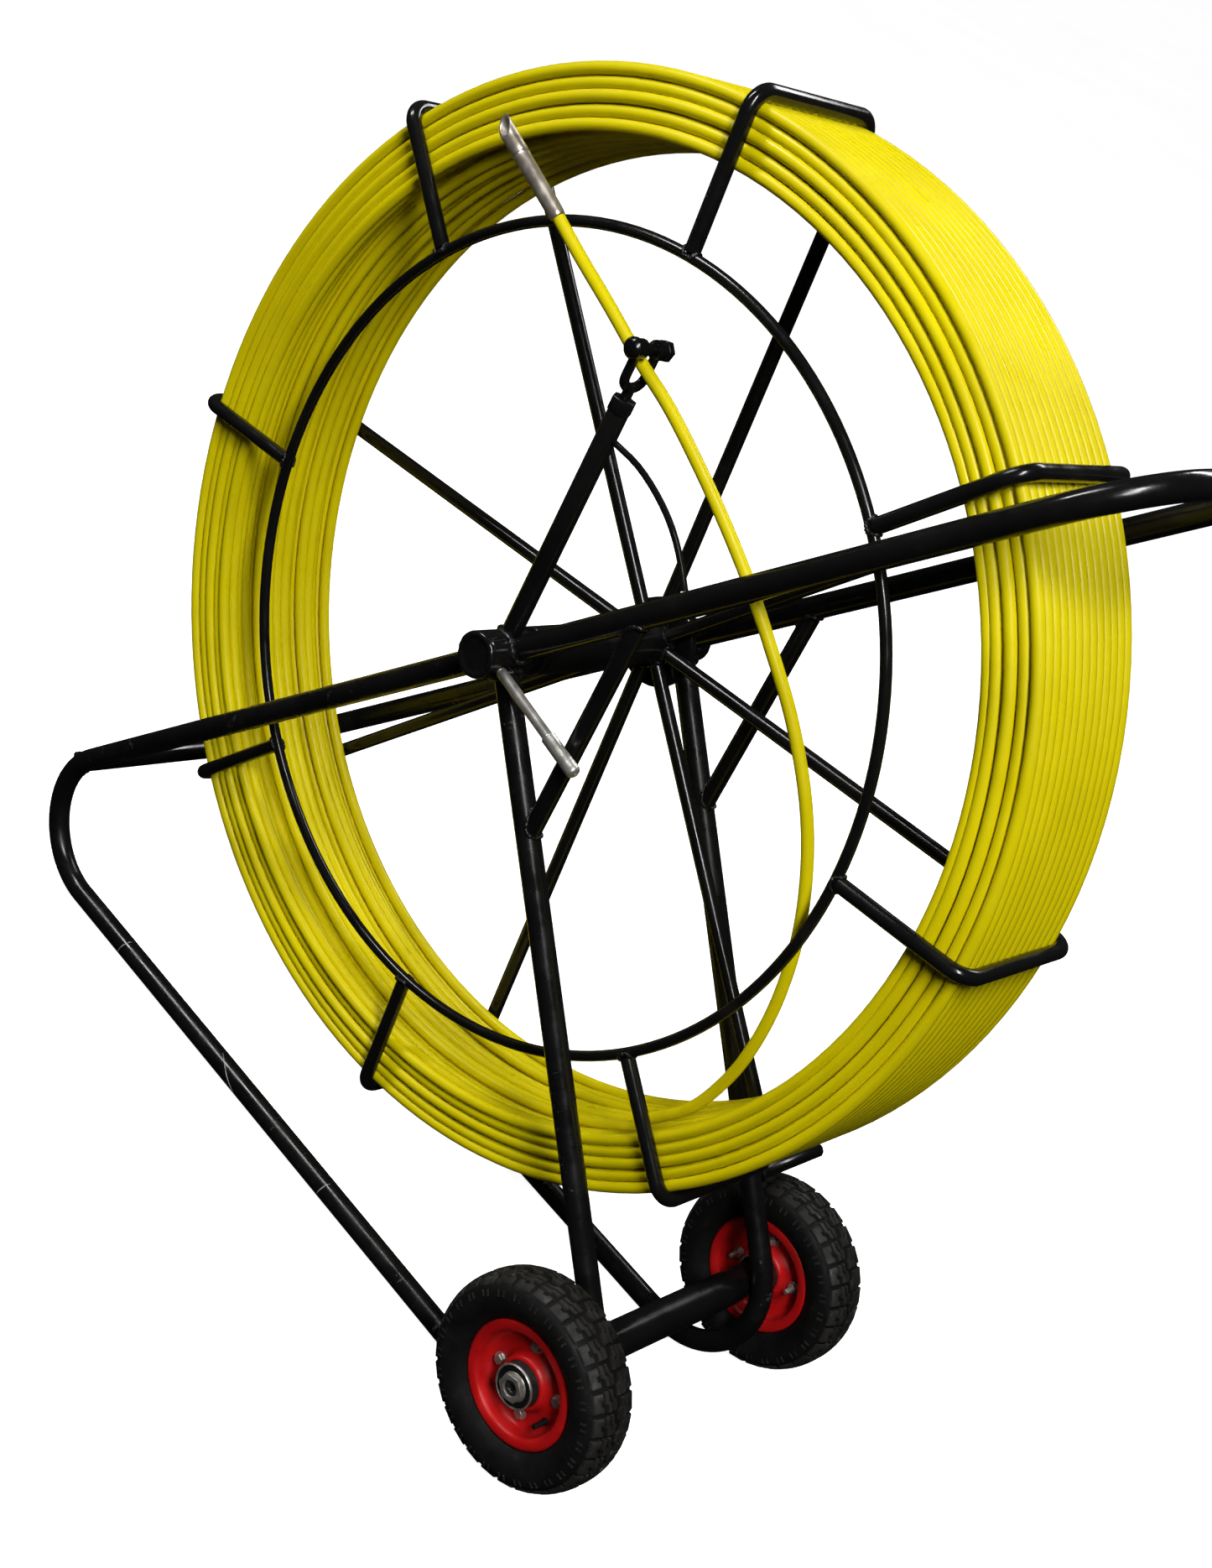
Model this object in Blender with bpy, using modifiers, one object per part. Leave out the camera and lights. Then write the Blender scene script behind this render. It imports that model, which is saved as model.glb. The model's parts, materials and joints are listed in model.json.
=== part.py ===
"""A duct rodding machine: a glass-fibre rod coiled in a basket reel on a two-wheeled tube cart.

Everything is laid out in the cart's own frame. Its origin is on the reel's axle, midway between the
side tubes; +X runs along the top rails to the handle, +Y to the far side and +Z away from the wheels.
The cart stands parked on its two base tubes, so that frame leans back about Y by PARK_LEAN.
"""

import math

import bmesh
import bpy
from mathutils import Matrix, Vector

# Cart frame
PARK_LEAN = math.radians(46.0)
RAIL_Y = 0.134
TUBE_R = 0.012
TUBE_BEND_R = 0.088
LEG_LEAN_X = -0.0334
AXLE_X, AXLE_Z = -0.0694, -0.6759
BASE_DISTANCE = 0.6276
HANDLE_X = 0.660
CROSSBAR_X = -0.690
BEAM_R, BEAM_END_Y = 0.019, 0.150
BRACE_R = 0.0092
BRACE_ALONG_RAIL, BRACE_DOWN_LEG = 0.172, 0.174
PEG_R, PEG_X, PEG_Z, PEG_END_Y = 0.0085, -0.024, -0.560, 0.252

# Hub
BOSS_R = 0.0225
NEAR_BOSS = (-0.168, -0.112)
FAR_BOSS = (0.112, 0.152)
CAP_THICK = 0.006
SHAFT_R = 0.010
SHAFT_ENDS = (-0.166, 0.150)
SLEEVE_R = 0.0235
SLEEVE_ENDS = (-0.100, 0.0915)

# Reel
BRACKET_R = 0.0075
BRACKET_BEND_R = 0.020
RING_R, RING_WIRE_R = 0.390, 0.0054
NEAR_PLANE, FAR_PLANE = -0.0907, 0.0850
FLANGE_R, FLANGE_THICK = 0.046, 0.008
REEL_TURN = 0.0748
BRACKETS = 8

# Rod
ROD_R = 0.0059
COIL_OUTER_R, COIL_INNER_R = 0.5275, 0.468
COIL_ENDS = (-0.0825, 0.0770)
BAR_RADIUS = COIL_OUTER_R + BRACKET_R + 0.0005

# Guide arm, its fork and the reel lock
ARM_ANGLE = math.radians(43.8)
ARM_R, ARM_Y, ARM_END = 0.010, -0.1370, 0.256
ARM_NUT_R, ARM_NUT_LENGTH = 0.0118, 0.013
FORK_Y = ARM_Y
FORK_ROD_R, FORK_HALF_GAP = 0.0046, 0.0132
FORK_THROAT, FORK_PIN = 0.2800, 0.3170
FORK_BOLT_R = 0.005
EAR_R, EAR_HALF = 0.0088, 0.0048
STAY_R = 0.0032
LOCK_ANGLE = math.radians(-57.1)
LOCK_Y = -0.155
LOCK_R, LOCK_THREAD_R = 0.0053, 0.0045
LOCK_GRIP = (0.102, 0.150)
LOCK_GRIP_R = 0.0072

# Wheels
WHEEL_Y = 0.190
TYRE_R, TYRE_HALF_WIDTH, TYRE_WALL = 0.107, 0.0315, 0.006
RIM_LIP_R = 0.0636
HUB_R, HUB_HALF = 0.0226, 0.0235
AXLE_R, AXLE_END_Y, AXLE_NUT_END_Y = 0.008, 0.2185, 0.2205
BOLT_CIRCLE_R, BOLT_R, RIM_BOLTS = 0.038, 0.0030, 4
BOLT_TURN = math.radians(60.0)
VALVE_TURN = math.radians(-73.0)

GAP = 0.0003
STEEL_TURNS = 12


# ---------------------------------------------------------------- scene helpers


def clear_scene():
    for obj in list(bpy.data.objects):
        bpy.data.objects.remove(obj, do_unlink=True)


def new_collection(name):
    collection = bpy.data.collections.new(name)
    bpy.context.scene.collection.children.link(collection)
    return collection


def material(name, colour, roughness, metallic=0.0):
    made = bpy.data.materials.new(name)
    made.use_nodes = True
    shader = made.node_tree.nodes["Principled BSDF"]
    shader.inputs["Base Color"].default_value = (*colour, 1.0)
    shader.inputs["Roughness"].default_value = roughness
    shader.inputs["Metallic"].default_value = metallic
    return made


def empty(name, parent, location=(0, 0, 0)):
    made = bpy.data.objects.new(name, None)
    PARTS.objects.link(made)
    made.parent = parent
    made.location = location
    return made


def place(obj, finish, parent, smooth=True):
    """Puts a part in the collection, under its body's empty, without moving it from the cart frame."""
    PARTS.objects.link(obj)
    obj.data.materials.clear()
    obj.data.materials.append(finish)
    obj.parent = parent
    shift = Vector() if parent == CART else parent.location
    obj.matrix_parent_inverse = Matrix.Translation(-shift)
    if smooth and obj.type == "MESH":
        obj.data.shade_smooth()
        obj.data.set_sharp_from_angle(angle=math.radians(35))
    return obj


def mesh_object(name, bm):
    mesh = bpy.data.meshes.new(name)
    bmesh.ops.recalc_face_normals(bm, faces=bm.faces)
    bm.to_mesh(mesh)
    bm.free()
    return bpy.data.objects.new(name, mesh)


def facing(direction):
    """The rotation that turns +Z to the given direction."""
    return Vector(direction).to_track_quat("Z", "Y").to_matrix().to_4x4()


def rod_between(start, end, radius, sides=STEEL_TURNS):
    """A bmesh cylinder from one point to another."""
    start, end = Vector(start), Vector(end)
    bm = bmesh.new()
    turn = Matrix.Translation((start + end) / 2) @ facing(end - start)
    bmesh.ops.create_cone(
        bm,
        cap_ends=True,
        segments=sides,
        radius1=radius,
        radius2=radius,
        depth=(end - start).length,
        matrix=turn,
    )
    return bm


def cylinder(name, start, end, radius, sides=STEEL_TURNS):
    return mesh_object(name, rod_between(start, end, radius, sides))


def turned(name, profile, direction, centre, steps, closed):
    """A solid of revolution: profile points are (radius, height) along direction from centre."""
    mesh = bpy.data.meshes.new(name)
    points = [(radius, 0, height) for radius, height in profile]
    edges = [(i, i + 1) for i in range(len(points) - 1)]
    if closed:
        edges.append((len(points) - 1, 0))
    mesh.from_pydata(points, edges, [])
    obj = bpy.data.objects.new(name, mesh)
    screw = obj.modifiers.new("turn", "SCREW")
    screw.steps = screw.render_steps = steps
    screw.use_merge_vertices = True
    screw.merge_threshold = 0.00001
    obj.matrix_basis = Matrix.Translation(centre) @ facing(direction)
    return obj


def sleeve(name, inner, outer, ends, centre=(0, 0), steps=24):
    """A plain tube along Y between two ends."""
    low, high = ends
    profile = [(outer, high), (outer, low), (inner, low), (inner, high)]
    return turned(name, profile, (0, 1, 0), (centre[0], 0, centre[1]), steps, True)


def rounded_path(corners, radius, steps=6):
    """The corners joined by straight runs, each inner corner turned into an arc."""
    corners = [Vector(c) for c in corners]
    path = [corners[0]]
    for before, corner, after in zip(corners, corners[1:], corners[2:]):
        back, on = (before - corner).normalized(), (after - corner).normalized()
        half = back.angle(on) / 2
        centre = corner + (back + on).normalized() * radius / math.sin(half)
        first = corner + back * radius / math.tan(half) - centre
        axis = on.cross(back)
        sweep = math.pi - 2 * half
        turns = [Matrix.Rotation(sweep * k / steps, 3, axis) for k in range(steps + 1)]
        path += [centre + turn @ first for turn in turns]
    return path + [corners[-1]]


def smooth_path(points, spacing):
    """Evenly spaced points on a Catmull-Rom curve through the given ones."""
    points = [Vector(p) for p in points]
    points = [2 * points[0] - points[1], *points, 2 * points[-1] - points[-2]]
    fine = []
    for a, b, c, d in zip(points, points[1:], points[2:], points[3:]):
        for k in range(20):
            t = k / 20
            square = (2 * a - 5 * b + 4 * c - d) * t**2
            cube = (3 * b - a - 3 * c + d) * t**3
            fine.append(0.5 * (2 * b + (c - a) * t + square + cube))
    fine.append(points[-2])
    length = sum((q - p).length for p, q in zip(fine, fine[1:]))
    count = round(length / spacing)
    path, gone = [fine[0]], 0.0
    for p, q in zip(fine, fine[1:]):
        step = (q - p).length
        while len(path) < count and gone + step >= length * len(path) / count:
            path.append(p.lerp(q, (length * len(path) / count - gone) / step))
        gone += step
    return path + [fine[-1]]


def tube(name, path, radius, resolution=4):
    """A round bar along a path, as a curve with filled caps."""
    curve = bpy.data.curves.new(name, "CURVE")
    curve.dimensions = "3D"
    curve.bevel_depth = radius
    curve.bevel_resolution = resolution
    curve.use_fill_caps = True
    spline = curve.splines.new("POLY")
    spline.points.add(len(path) - 1)
    for point, at in zip(spline.points, path):
        point.co = (*at, 1.0)
    return bpy.data.objects.new(name, curve)


def solid_tube(name, path, radius, resolution=4):
    """The same bar as a mesh, so that it can be cut or joined."""
    source = tube(name + "_curve", path, radius, resolution)
    bpy.context.scene.collection.objects.link(source)
    graph = bpy.context.evaluated_depsgraph_get()
    mesh = bpy.data.meshes.new_from_object(source.evaluated_get(graph))
    bm = bmesh.new()
    bm.from_mesh(mesh)
    bmesh.ops.remove_doubles(bm, verts=bm.verts, dist=0.00001)
    bpy.data.objects.remove(source, do_unlink=True)
    return mesh_object(name, bm)


def cutter(obj):
    CUTTERS.objects.link(obj)
    obj.parent = CART
    obj.hide_render = True
    obj.display_type = "WIRE"
    return obj


def combine(obj, other, operation="DIFFERENCE"):
    modifier = obj.modifiers.new(operation.lower(), "BOOLEAN")
    modifier.operation = operation
    modifier.solver = "EXACT"
    modifier.object = other
    return obj


def polar(radius, angle, y):
    """A point at an angle from +X in the reel's plane."""
    return Vector((radius * math.cos(angle), y, radius * math.sin(angle)))


def hex_nut(name, start, end, radius, bore):
    """A six-sided nut with a round hole right through it."""
    start, end = Vector(start), Vector(end)
    past = (end - start).normalized() * 0.003
    hole = cylinder(name + "_cutter", start - past, end + past, bore, 16)
    return combine(cylinder(name, start, end, radius, 6), cutter(hole))


# ---------------------------------------------------------------- cart frame


def leg_line(depth):
    """Where the leg's axis is, this far below the hub."""
    return LEG_LEAN_X * depth / -AXLE_Z


def heel_corner():
    """Where the leg's line meets the base tube's line, before the bend rounds it off."""
    leg = Vector((LEG_LEAN_X, AXLE_Z))
    outward = Vector((-math.sin(PARK_LEAN), -math.cos(PARK_LEAN)))
    return leg * BASE_DISTANCE / leg.dot(outward)


def side_path(y):
    """Leg, heel bend, base tube, toe bend and top rail, from the hub and back to it."""
    heel = heel_corner()
    toe_x = -BASE_DISTANCE / math.sin(PARK_LEAN)
    corners = [(0, y, 0), (heel.x, y, heel.y), (toe_x, y, 0), (0, y, 0)]
    return rounded_path(corners, TUBE_BEND_R, 12)


def side_tube(name, y, boss_cutter):
    """One bent tube whose two ends are welded to the boss."""
    place(combine(solid_tube(name, side_path(y), TUBE_R), boss_cutter), BLACK, CART)


def handle_bow(near_cutter, far_cutter):
    corners = [(0, -RAIL_Y, 0), (HANDLE_X, -RAIL_Y, 0), (HANDLE_X, RAIL_Y, 0), (0, RAIL_Y, 0)]
    bow = solid_tube("handle_bow", rounded_path(corners, TUBE_BEND_R, 7), TUBE_R)
    combine(combine(bow, near_cutter), far_cutter)
    place(bow, BLACK, CART)


def toe_crossbar():
    bar = cylinder("toe_crossbar", (CROSSBAR_X, -RAIL_Y, 0), (CROSSBAR_X, RAIL_Y, 0), TUBE_R)
    for side, y in (("near", -RAIL_Y), ("far", RAIL_Y)):
        combine(bar, cutter(solid_tube(f"toe_{side}_cutter", side_path(y), TUBE_R + GAP)))
    place(bar, BLACK, CART)


def brace(name, y):
    """A short diagonal between the top rail and the leg."""
    top = Vector((BRACE_ALONG_RAIL, y, 0))
    foot = Vector((leg_line(BRACE_DOWN_LEG), y, -BRACE_DOWN_LEG))
    bar = cylinder(name, top, foot, BRACE_R, 10)
    rail = cylinder(name + "_rail_cutter", (0.05, y, 0), (0.40, y, 0), TUBE_R + GAP, 24)
    leg_end = (leg_line(0.4), y, -0.4)
    leg = cylinder(name + "_leg_cutter", (0, y, 0), leg_end, TUBE_R + GAP, 24)
    combine(combine(bar, cutter(rail)), cutter(leg))
    place(bar, BLACK, CART)


def axle_beam():
    ends = (-BEAM_END_Y, BEAM_END_Y)
    place(sleeve("axle_beam", AXLE_R + GAP, BEAM_R, ends, (AXLE_X, AXLE_Z), 20), BLACK, CART)


def foot_peg():
    """A square-cut stub on the far leg, out over the far wheel."""
    peg = cylinder("foot_peg", (PEG_X, RAIL_Y, PEG_Z), (PEG_X, PEG_END_Y, PEG_Z), PEG_R, 10)
    leg = cylinder("peg_cutter", (0, RAIL_Y, 0), (LEG_LEAN_X, RAIL_Y, AXLE_Z), TUBE_R + GAP, 24)
    place(combine(peg, cutter(leg)), BLACK, CART)


# ---------------------------------------------------------------- hub and reel


def hub_bosses():
    near = sleeve("near_hub_boss", SHAFT_R + GAP, BOSS_R, NEAR_BOSS)
    start, end = polar(0.005, LOCK_ANGLE, LOCK_Y), polar(0.040, LOCK_ANGLE, LOCK_Y)
    combine(near, cutter(cylinder("lock_hole_cutter", start, end, LOCK_THREAD_R + GAP, 12)))
    place(near, BLACK, CART)
    place(sleeve("far_hub_boss", SHAFT_R + GAP, BOSS_R, FAR_BOSS), BLACK, CART)
    for name, face, out in (("near_boss_cap", NEAR_BOSS[0], -1), ("far_boss_cap", FAR_BOSS[1], 1)):
        inner, outer = face + out * GAP, face + out * (GAP + CAP_THICK)
        place(cylinder(name, (0, inner, 0), (0, outer, 0), BOSS_R, 24), BLACK, CART)


def reel_core():
    shaft = cylinder("reel_shaft", (0, SHAFT_ENDS[0], 0), (0, SHAFT_ENDS[1], 0), SHAFT_R, 20)
    place(shaft, STEEL, REEL)
    place(sleeve("reel_hub_sleeve", SHAFT_R + GAP, SLEEVE_R, SLEEVE_ENDS), BLACK, REEL)
    near = FAR_PLANE + BRACKET_R + GAP
    flange = sleeve("reel_flange", SLEEVE_R + GAP, FLANGE_R, (near, near + FLANGE_THICK), steps=28)
    place(flange, BLACK, REEL)


def reel_bracket(number):
    """A spoke out along the far side, a bar across outside the coil and a leg back to the front ring."""
    angle = math.pi / 2 + REEL_TURN + 2 * math.pi * number / BRACKETS
    corners = [
        polar(SLEEVE_R + GAP, angle, FAR_PLANE),
        polar(BAR_RADIUS, angle, FAR_PLANE),
        polar(BAR_RADIUS, angle, NEAR_PLANE),
        polar(RING_R + RING_WIRE_R + GAP, angle, NEAR_PLANE),
    ]
    bar = tube(f"reel_bracket_{number + 1}", rounded_path(corners, BRACKET_BEND_R, 4), BRACKET_R, 2)
    place(bar, BLACK, REEL)


def front_ring():
    section = [polar(RING_WIRE_R, -2 * math.pi * (k + 0.5) / 8, 0) for k in range(8)]
    profile = [(RING_R + point.x, NEAR_PLANE + point.z) for point in section]
    place(turned("reel_front_ring", profile, (0, 1, 0), (0, 0, 0), 72, True), BLACK, REEL)


def rod_coil():
    """The wound rod as one ring with rounded edges."""
    edge = 0.010
    low, high = COIL_ENDS
    profile = [
        (COIL_OUTER_R - edge, high),
        (COIL_OUTER_R, high - edge),
        (COIL_OUTER_R, low + edge),
        (COIL_OUTER_R - edge, low),
        (COIL_INNER_R + edge, low),
        (COIL_INNER_R, low + edge),
        (COIL_INNER_R, high - edge),
        (COIL_INNER_R + edge, high),
    ]
    place(turned("rod_coil", profile, (0, 1, 0), (0, 0, 0), 72, True), YELLOW, REEL)


# ---------------------------------------------------------------- the rod's free end

# From the coil's inside at the bottom, up behind the near rail and through the fork to the tip.
ROD_ROUTE = [
    (0.000, -0.050, -0.4610),
    (0.060, -0.0520, -0.4520),
    (0.109, -0.0550, -0.4290),
    (0.152, -0.0590, -0.3980),
    (0.194, -0.0630, -0.3540),
    (0.231, -0.0680, -0.2990),
    (0.257, -0.0740, -0.2400),
    (0.273, -0.0820, -0.1800),
    (0.279, -0.0910, -0.1130),
    (0.277, -0.1010, -0.0500),
    (0.271, -0.1090, 0.0100),
    (0.257, -0.1190, 0.0850),
    (0.238, -0.1300, 0.1600),
    (0.2188, -0.1370, 0.2101),
    (0.203, -0.1460, 0.2610),
    (0.186, -0.1540, 0.3100),
    (0.174, -0.1600, 0.3480),
]
ROD_END_DIRECTION = Vector((-0.34, -0.125, 0.93)).normalized()


def rod_tail():
    place(tube("rod_tail", smooth_path(ROD_ROUTE, 0.018), ROD_R, 2), YELLOW, CART)


def rod_tip():
    """The crimped ferrule and the slotted end fitting that a pulling eye screws on to."""
    start = Vector(ROD_ROUTE[-1]) + ROD_END_DIRECTION * GAP
    ferrule = [
        (0, 0.066),
        (0.0052, 0.066),
        (0.0060, 0.060),
        (0.0075, 0.058),
        (0.0075, 0.004),
        (0.0068, 0),
        (0, 0),
    ]
    place(turned("rod_ferrule", ferrule, ROD_END_DIRECTION, start, 16, False), STEEL, CART)
    base = start + ROD_END_DIRECTION * (0.066 + GAP)
    head = [
        (0, 0.006),
        (0.0044, 0.006),
        (0.0044, 0.042),
        (0.0062, 0.044),
        (0.0078, 0.042),
        (0.0078, 0.004),
        (0.0066, 0),
        (0, 0),
    ]
    fitting = turned("rod_tip_fitting", head, ROD_END_DIRECTION, base, 16, False)
    place(fitting, STEEL, CART)


# ---------------------------------------------------------------- guide arm, fork and reel lock


def along_arm(distance, y=ARM_Y):
    return polar(distance, ARM_ANGLE, y)


def guide_arm(boss_cutter):
    arm = cylinder("guide_arm", along_arm(0.010), along_arm(ARM_END), ARM_R, 14)
    rail = cylinder("arm_rail_cutter", (0, -RAIL_Y, 0), (0.2, -RAIL_Y, 0), TUBE_R + GAP, 24)
    combine(combine(arm, boss_cutter), cutter(rail))
    bore = cylinder("arm_bore_cutter", along_arm(ARM_END - 0.014), along_arm(ARM_END + 0.02), 0.0054, 12)
    combine(arm, cutter(bore))
    place(arm, BLACK, CART)
    nut_start = ARM_END + GAP
    nut_ends = (along_arm(nut_start), along_arm(nut_start + ARM_NUT_LENGTH))
    place(hex_nut("arm_nut", *nut_ends, ARM_NUT_R, 0.0054), BLACK, CART)


def arm_stay():
    """A thin curved wire from the arm down to the top of the near rail."""
    outward = Vector((math.sin(ARM_ANGLE), 0, -math.cos(ARM_ANGLE)))
    top = polar(0.232, ARM_ANGLE, ARM_Y) + outward * (ARM_R + GAP + 0.0002)
    route = [
        top,
        (0.1945, ARM_Y + 0.0006, 0.1290),
        (0.2085, ARM_Y + 0.0012, 0.1030),
        (0.2185, ARM_Y + 0.0018, 0.0740),
        (0.2225, ARM_Y + 0.0024, 0.0440),
        (0.2215, -RAIL_Y, TUBE_R + GAP),
    ]
    place(tube("arm_stay_wire", smooth_path(route, 0.011), STAY_R, 2), BLACK, CART)


def guide_fork():
    """Two prongs on a threaded neck; the rod runs between them, under the cross bolt."""
    y_near, y_far = FORK_Y - FORK_HALF_GAP, FORK_Y + FORK_HALF_GAP
    corners = [
        along_arm(FORK_PIN, y_near),
        along_arm(FORK_THROAT, y_near),
        along_arm(FORK_THROAT, y_far),
        along_arm(FORK_PIN, y_far),
    ]
    fork = solid_tube("guide_fork", rounded_path(corners, FORK_HALF_GAP - 0.002, 5), FORK_ROD_R, 3)
    neck = cylinder("fork_neck", along_arm(ARM_END - 0.012), along_arm(FORK_THROAT), 0.0050, 12)
    combine(fork, cutter(neck), "UNION")
    for side, y in (("near", y_near), ("far", y_far)):
        faces = (along_arm(FORK_PIN, y - EAR_HALF), along_arm(FORK_PIN, y + EAR_HALF))
        combine(fork, cutter(cylinder(f"fork_{side}_ear", *faces, EAR_R, 14)), "UNION")
    reach = FORK_HALF_GAP + 0.02
    hole_ends = (along_arm(FORK_PIN, FORK_Y - reach), along_arm(FORK_PIN, FORK_Y + reach))
    combine(fork, cutter(cylinder("fork_hole_cutter", *hole_ends, FORK_BOLT_R + GAP, 12)))
    place(fork, BLACK, FORK)


def fork_bolt():
    centre = along_arm(FORK_PIN, FORK_Y)
    face = FORK_HALF_GAP + EAR_HALF + GAP
    shank_end = face + 0.0085
    profile = [
        (0, shank_end + 0.001),
        (FORK_BOLT_R - 0.001, shank_end + 0.001),
        (FORK_BOLT_R, shank_end),
        (FORK_BOLT_R, -face),
        (0.0098, -face),
        (0.0098, -face - 0.004),
        (0.0070, -face - 0.0072),
        (0, -face - 0.0080),
    ]
    place(turned("fork_bolt", profile, (0, 1, 0), centre, 14, False), BLACK, FORK)
    nut_ends = (along_arm(FORK_PIN, FORK_Y + face), along_arm(FORK_PIN, FORK_Y + face + 0.0070))
    place(hex_nut("fork_nut", *nut_ends, 0.0098, FORK_BOLT_R + GAP), BLACK, FORK)


def lock_lever():
    """A round bar screwed into the near boss; its point grips the shaft. The grip is knurled."""
    low, high = LOCK_GRIP
    shoulder = BOSS_R + 0.0015
    profile = [
        (0, high),
        (0.0045, high - 0.0012),
        (LOCK_GRIP_R, high - 0.005),
        (LOCK_GRIP_R, low + 0.002),
        (LOCK_R, low),
        (LOCK_R, shoulder),
        (LOCK_THREAD_R, shoulder),
        (LOCK_THREAD_R, 0.0125),
        (0.0035, SHAFT_R + 0.0006),
        (0, SHAFT_R + 0.0006),
    ]
    centre = Vector((0, LOCK_Y, 0))
    place(turned("lock_lever", profile, polar(1, LOCK_ANGLE, 0), centre, 16, False), STEEL, LOCK)


# ---------------------------------------------------------------- wheels


def tyre_profile():
    """An open C section: outer skin, then the inside of the casing back to the first bead."""
    half, crown = TYRE_HALF_WIDTH, TYRE_R
    skin = [
        (0.0537, 0.0190),
        (0.0641, 0.0190),
        (0.0720, half - 0.003),
        (0.0860, half),
        (crown - 0.008, half - 0.0025),
        (crown - 0.001, half - 0.0120),
        (crown, 0.0080),
    ]
    inside = [
        (0.0537, 0.0120),
        (0.0640, 0.0130),
        (0.0860, half - TYRE_WALL),
        (crown - TYRE_WALL - 0.003, 0.0150),
        (crown - TYRE_WALL - 0.001, 0.0060),
    ]
    mirrored = [(r, -h) for r, h in reversed(skin)]
    mirrored_inside = [(r, -h) for r, h in inside]
    return skin + mirrored + mirrored_inside + list(reversed(inside))


def rim_profile():
    """One pressed half of the rim, 2 mm thick, from the hub hole out to the lip."""
    face = [
        (HUB_R + GAP, 0.0150),
        (0.0262, 0.0150),
        (0.0308, 0.0027),
        (0.0462, 0.0027),
        (0.0512, 0.0075),
        (0.0512, 0.0220),
        (RIM_LIP_R, 0.0220),
    ]
    back = [
        (RIM_LIP_R, 0.0195),
        (0.0532, 0.0195),
        (0.0532, 0.0065),
        (0.0476, 0.0003),
        (0.0294, 0.0003),
        (0.0250, 0.0125),
        (HUB_R + GAP, 0.0125),
    ]
    return face + back


def wheel(side, out, parent):
    """Tyre, two rim halves and their bolts, hub and valve stem."""
    centre = Vector((AXLE_X, out * WHEEL_Y, AXLE_Z))
    outward, inward = (0, out, 0), (0, -out, 0)

    def at(radius, angle, height):
        return centre + polar(radius, angle, out * height)

    place(turned(f"{side}_tyre", tyre_profile(), outward, centre, 40, True), RUBBER, parent)
    stud_turns = [BOLT_TURN + 2 * math.pi * k / RIM_BOLTS for k in range(RIM_BOLTS)]
    for half, direction in (("outer", outward), ("inner", inward)):
        rim = turned(f"{side}_rim_{half}", rim_profile(), direction, centre, 28, True)
        for k, turn in enumerate(stud_turns):
            ends = (at(BOLT_CIRCLE_R, turn, -0.02), at(BOLT_CIRCLE_R, turn, 0.02))
            combine(rim, cutter(cylinder(f"{side}_{half}_hole_{k}", *ends, BOLT_R + GAP, 8)))
        place(rim, RED, parent)

    for k, turn in enumerate(stud_turns):
        place(rim_bolt(f"{side}_rim_bolt_{k + 1}", at(BOLT_CIRCLE_R, turn, 0), outward), STEEL, parent)
    hub_ends = (centre.y - HUB_HALF, centre.y + HUB_HALF)
    hub = sleeve(f"{side}_wheel_hub", AXLE_R + GAP, HUB_R, hub_ends, (AXLE_X, AXLE_Z), 20)
    place(hub, DARK, parent)
    stem = [
        (0, 0.0200),
        (0.0026, 0.0200),
        (0.0026, 0.0060),
        (0.0040, 0.0050),
        (0.0040, 0.0031),
        (0, 0.0031),
    ]
    foot = centre + polar(0.0410, VALVE_TURN, 0)
    place(turned(f"{side}_valve_stem", stem, outward, foot, 10, False), RUBBER, parent)


def rim_bolt(name, centre, direction):
    """A bolt with its head outside the wheel and its nut inside."""
    sheet = 0.0027 + GAP
    profile = [
        (0, sheet + 0.0042),
        (0.0056, sheet + 0.0042),
        (0.0056, sheet),
        (BOLT_R, sheet),
        (BOLT_R, -sheet),
        (0.0056, -sheet),
        (0.0056, -sheet - 0.0050),
        (BOLT_R, -sheet - 0.0050),
        (BOLT_R, -0.0190),
        (0, -0.0190),
    ]
    return turned(name, profile, direction, centre, 8, False)


def axle_fittings(side, out):
    """Collar inside the wheel, washer and nut outside it."""
    centre = (AXLE_X, AXLE_Z)
    bore = AXLE_R + GAP
    hub_inner, hub_outer = WHEEL_Y - HUB_HALF - 0.0005, WHEEL_Y + HUB_HALF + 0.0005

    def ring(name, outer, low, high, steps):
        ends = sorted((out * low, out * high))
        place(sleeve(f"{side}_{name}", bore, outer, ends, centre, steps), STEEL, CART)

    ring("axle_collar", 0.0120, BEAM_END_Y + GAP, hub_inner, 16)
    ring("axle_washer", 0.0150, hub_outer, hub_outer + 0.0013, 18)
    nut_ends = [(AXLE_X, out * reach, AXLE_Z) for reach in (hub_outer + 0.0016, AXLE_NUT_END_Y)]
    place(hex_nut(f"{side}_axle_nut", *nut_ends, 0.0148, bore), STEEL, CART)


def axle_rod():
    ends = [(AXLE_X, out * AXLE_END_Y, AXLE_Z) for out in (-1, 1)]
    rod = cylinder("axle_rod", *ends, AXLE_R, 16)
    place(rod, STEEL, CART)


# ---------------------------------------------------------------- assembly


def stand_on_floor():
    """Moves the cart so that its lowest point is at height 0 and its plan is centred on the origin."""
    bpy.context.view_layer.update()
    graph = bpy.context.evaluated_depsgraph_get()
    low, high = Vector((9, 9, 9)), Vector((-9, -9, -9))
    for obj in PARTS.objects:
        if obj.type == "EMPTY" or obj.name in ("rod_tail", "rod_ferrule", "rod_tip_fitting"):
            continue
        evaluated = obj.evaluated_get(graph)
        mesh = evaluated.to_mesh()
        for vertex in mesh.vertices:
            at = evaluated.matrix_world @ vertex.co
            low = Vector(map(min, low, at))
            high = Vector(map(max, high, at))
        evaluated.to_mesh_clear()
    CART.location += Vector((-(low.x + high.x) / 2, -(low.y + high.y) / 2, -low.z))
    bpy.context.view_layer.update()


clear_scene()
PARTS = new_collection("duct_rodding_machine")
CUTTERS = new_collection("cutters")

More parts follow.
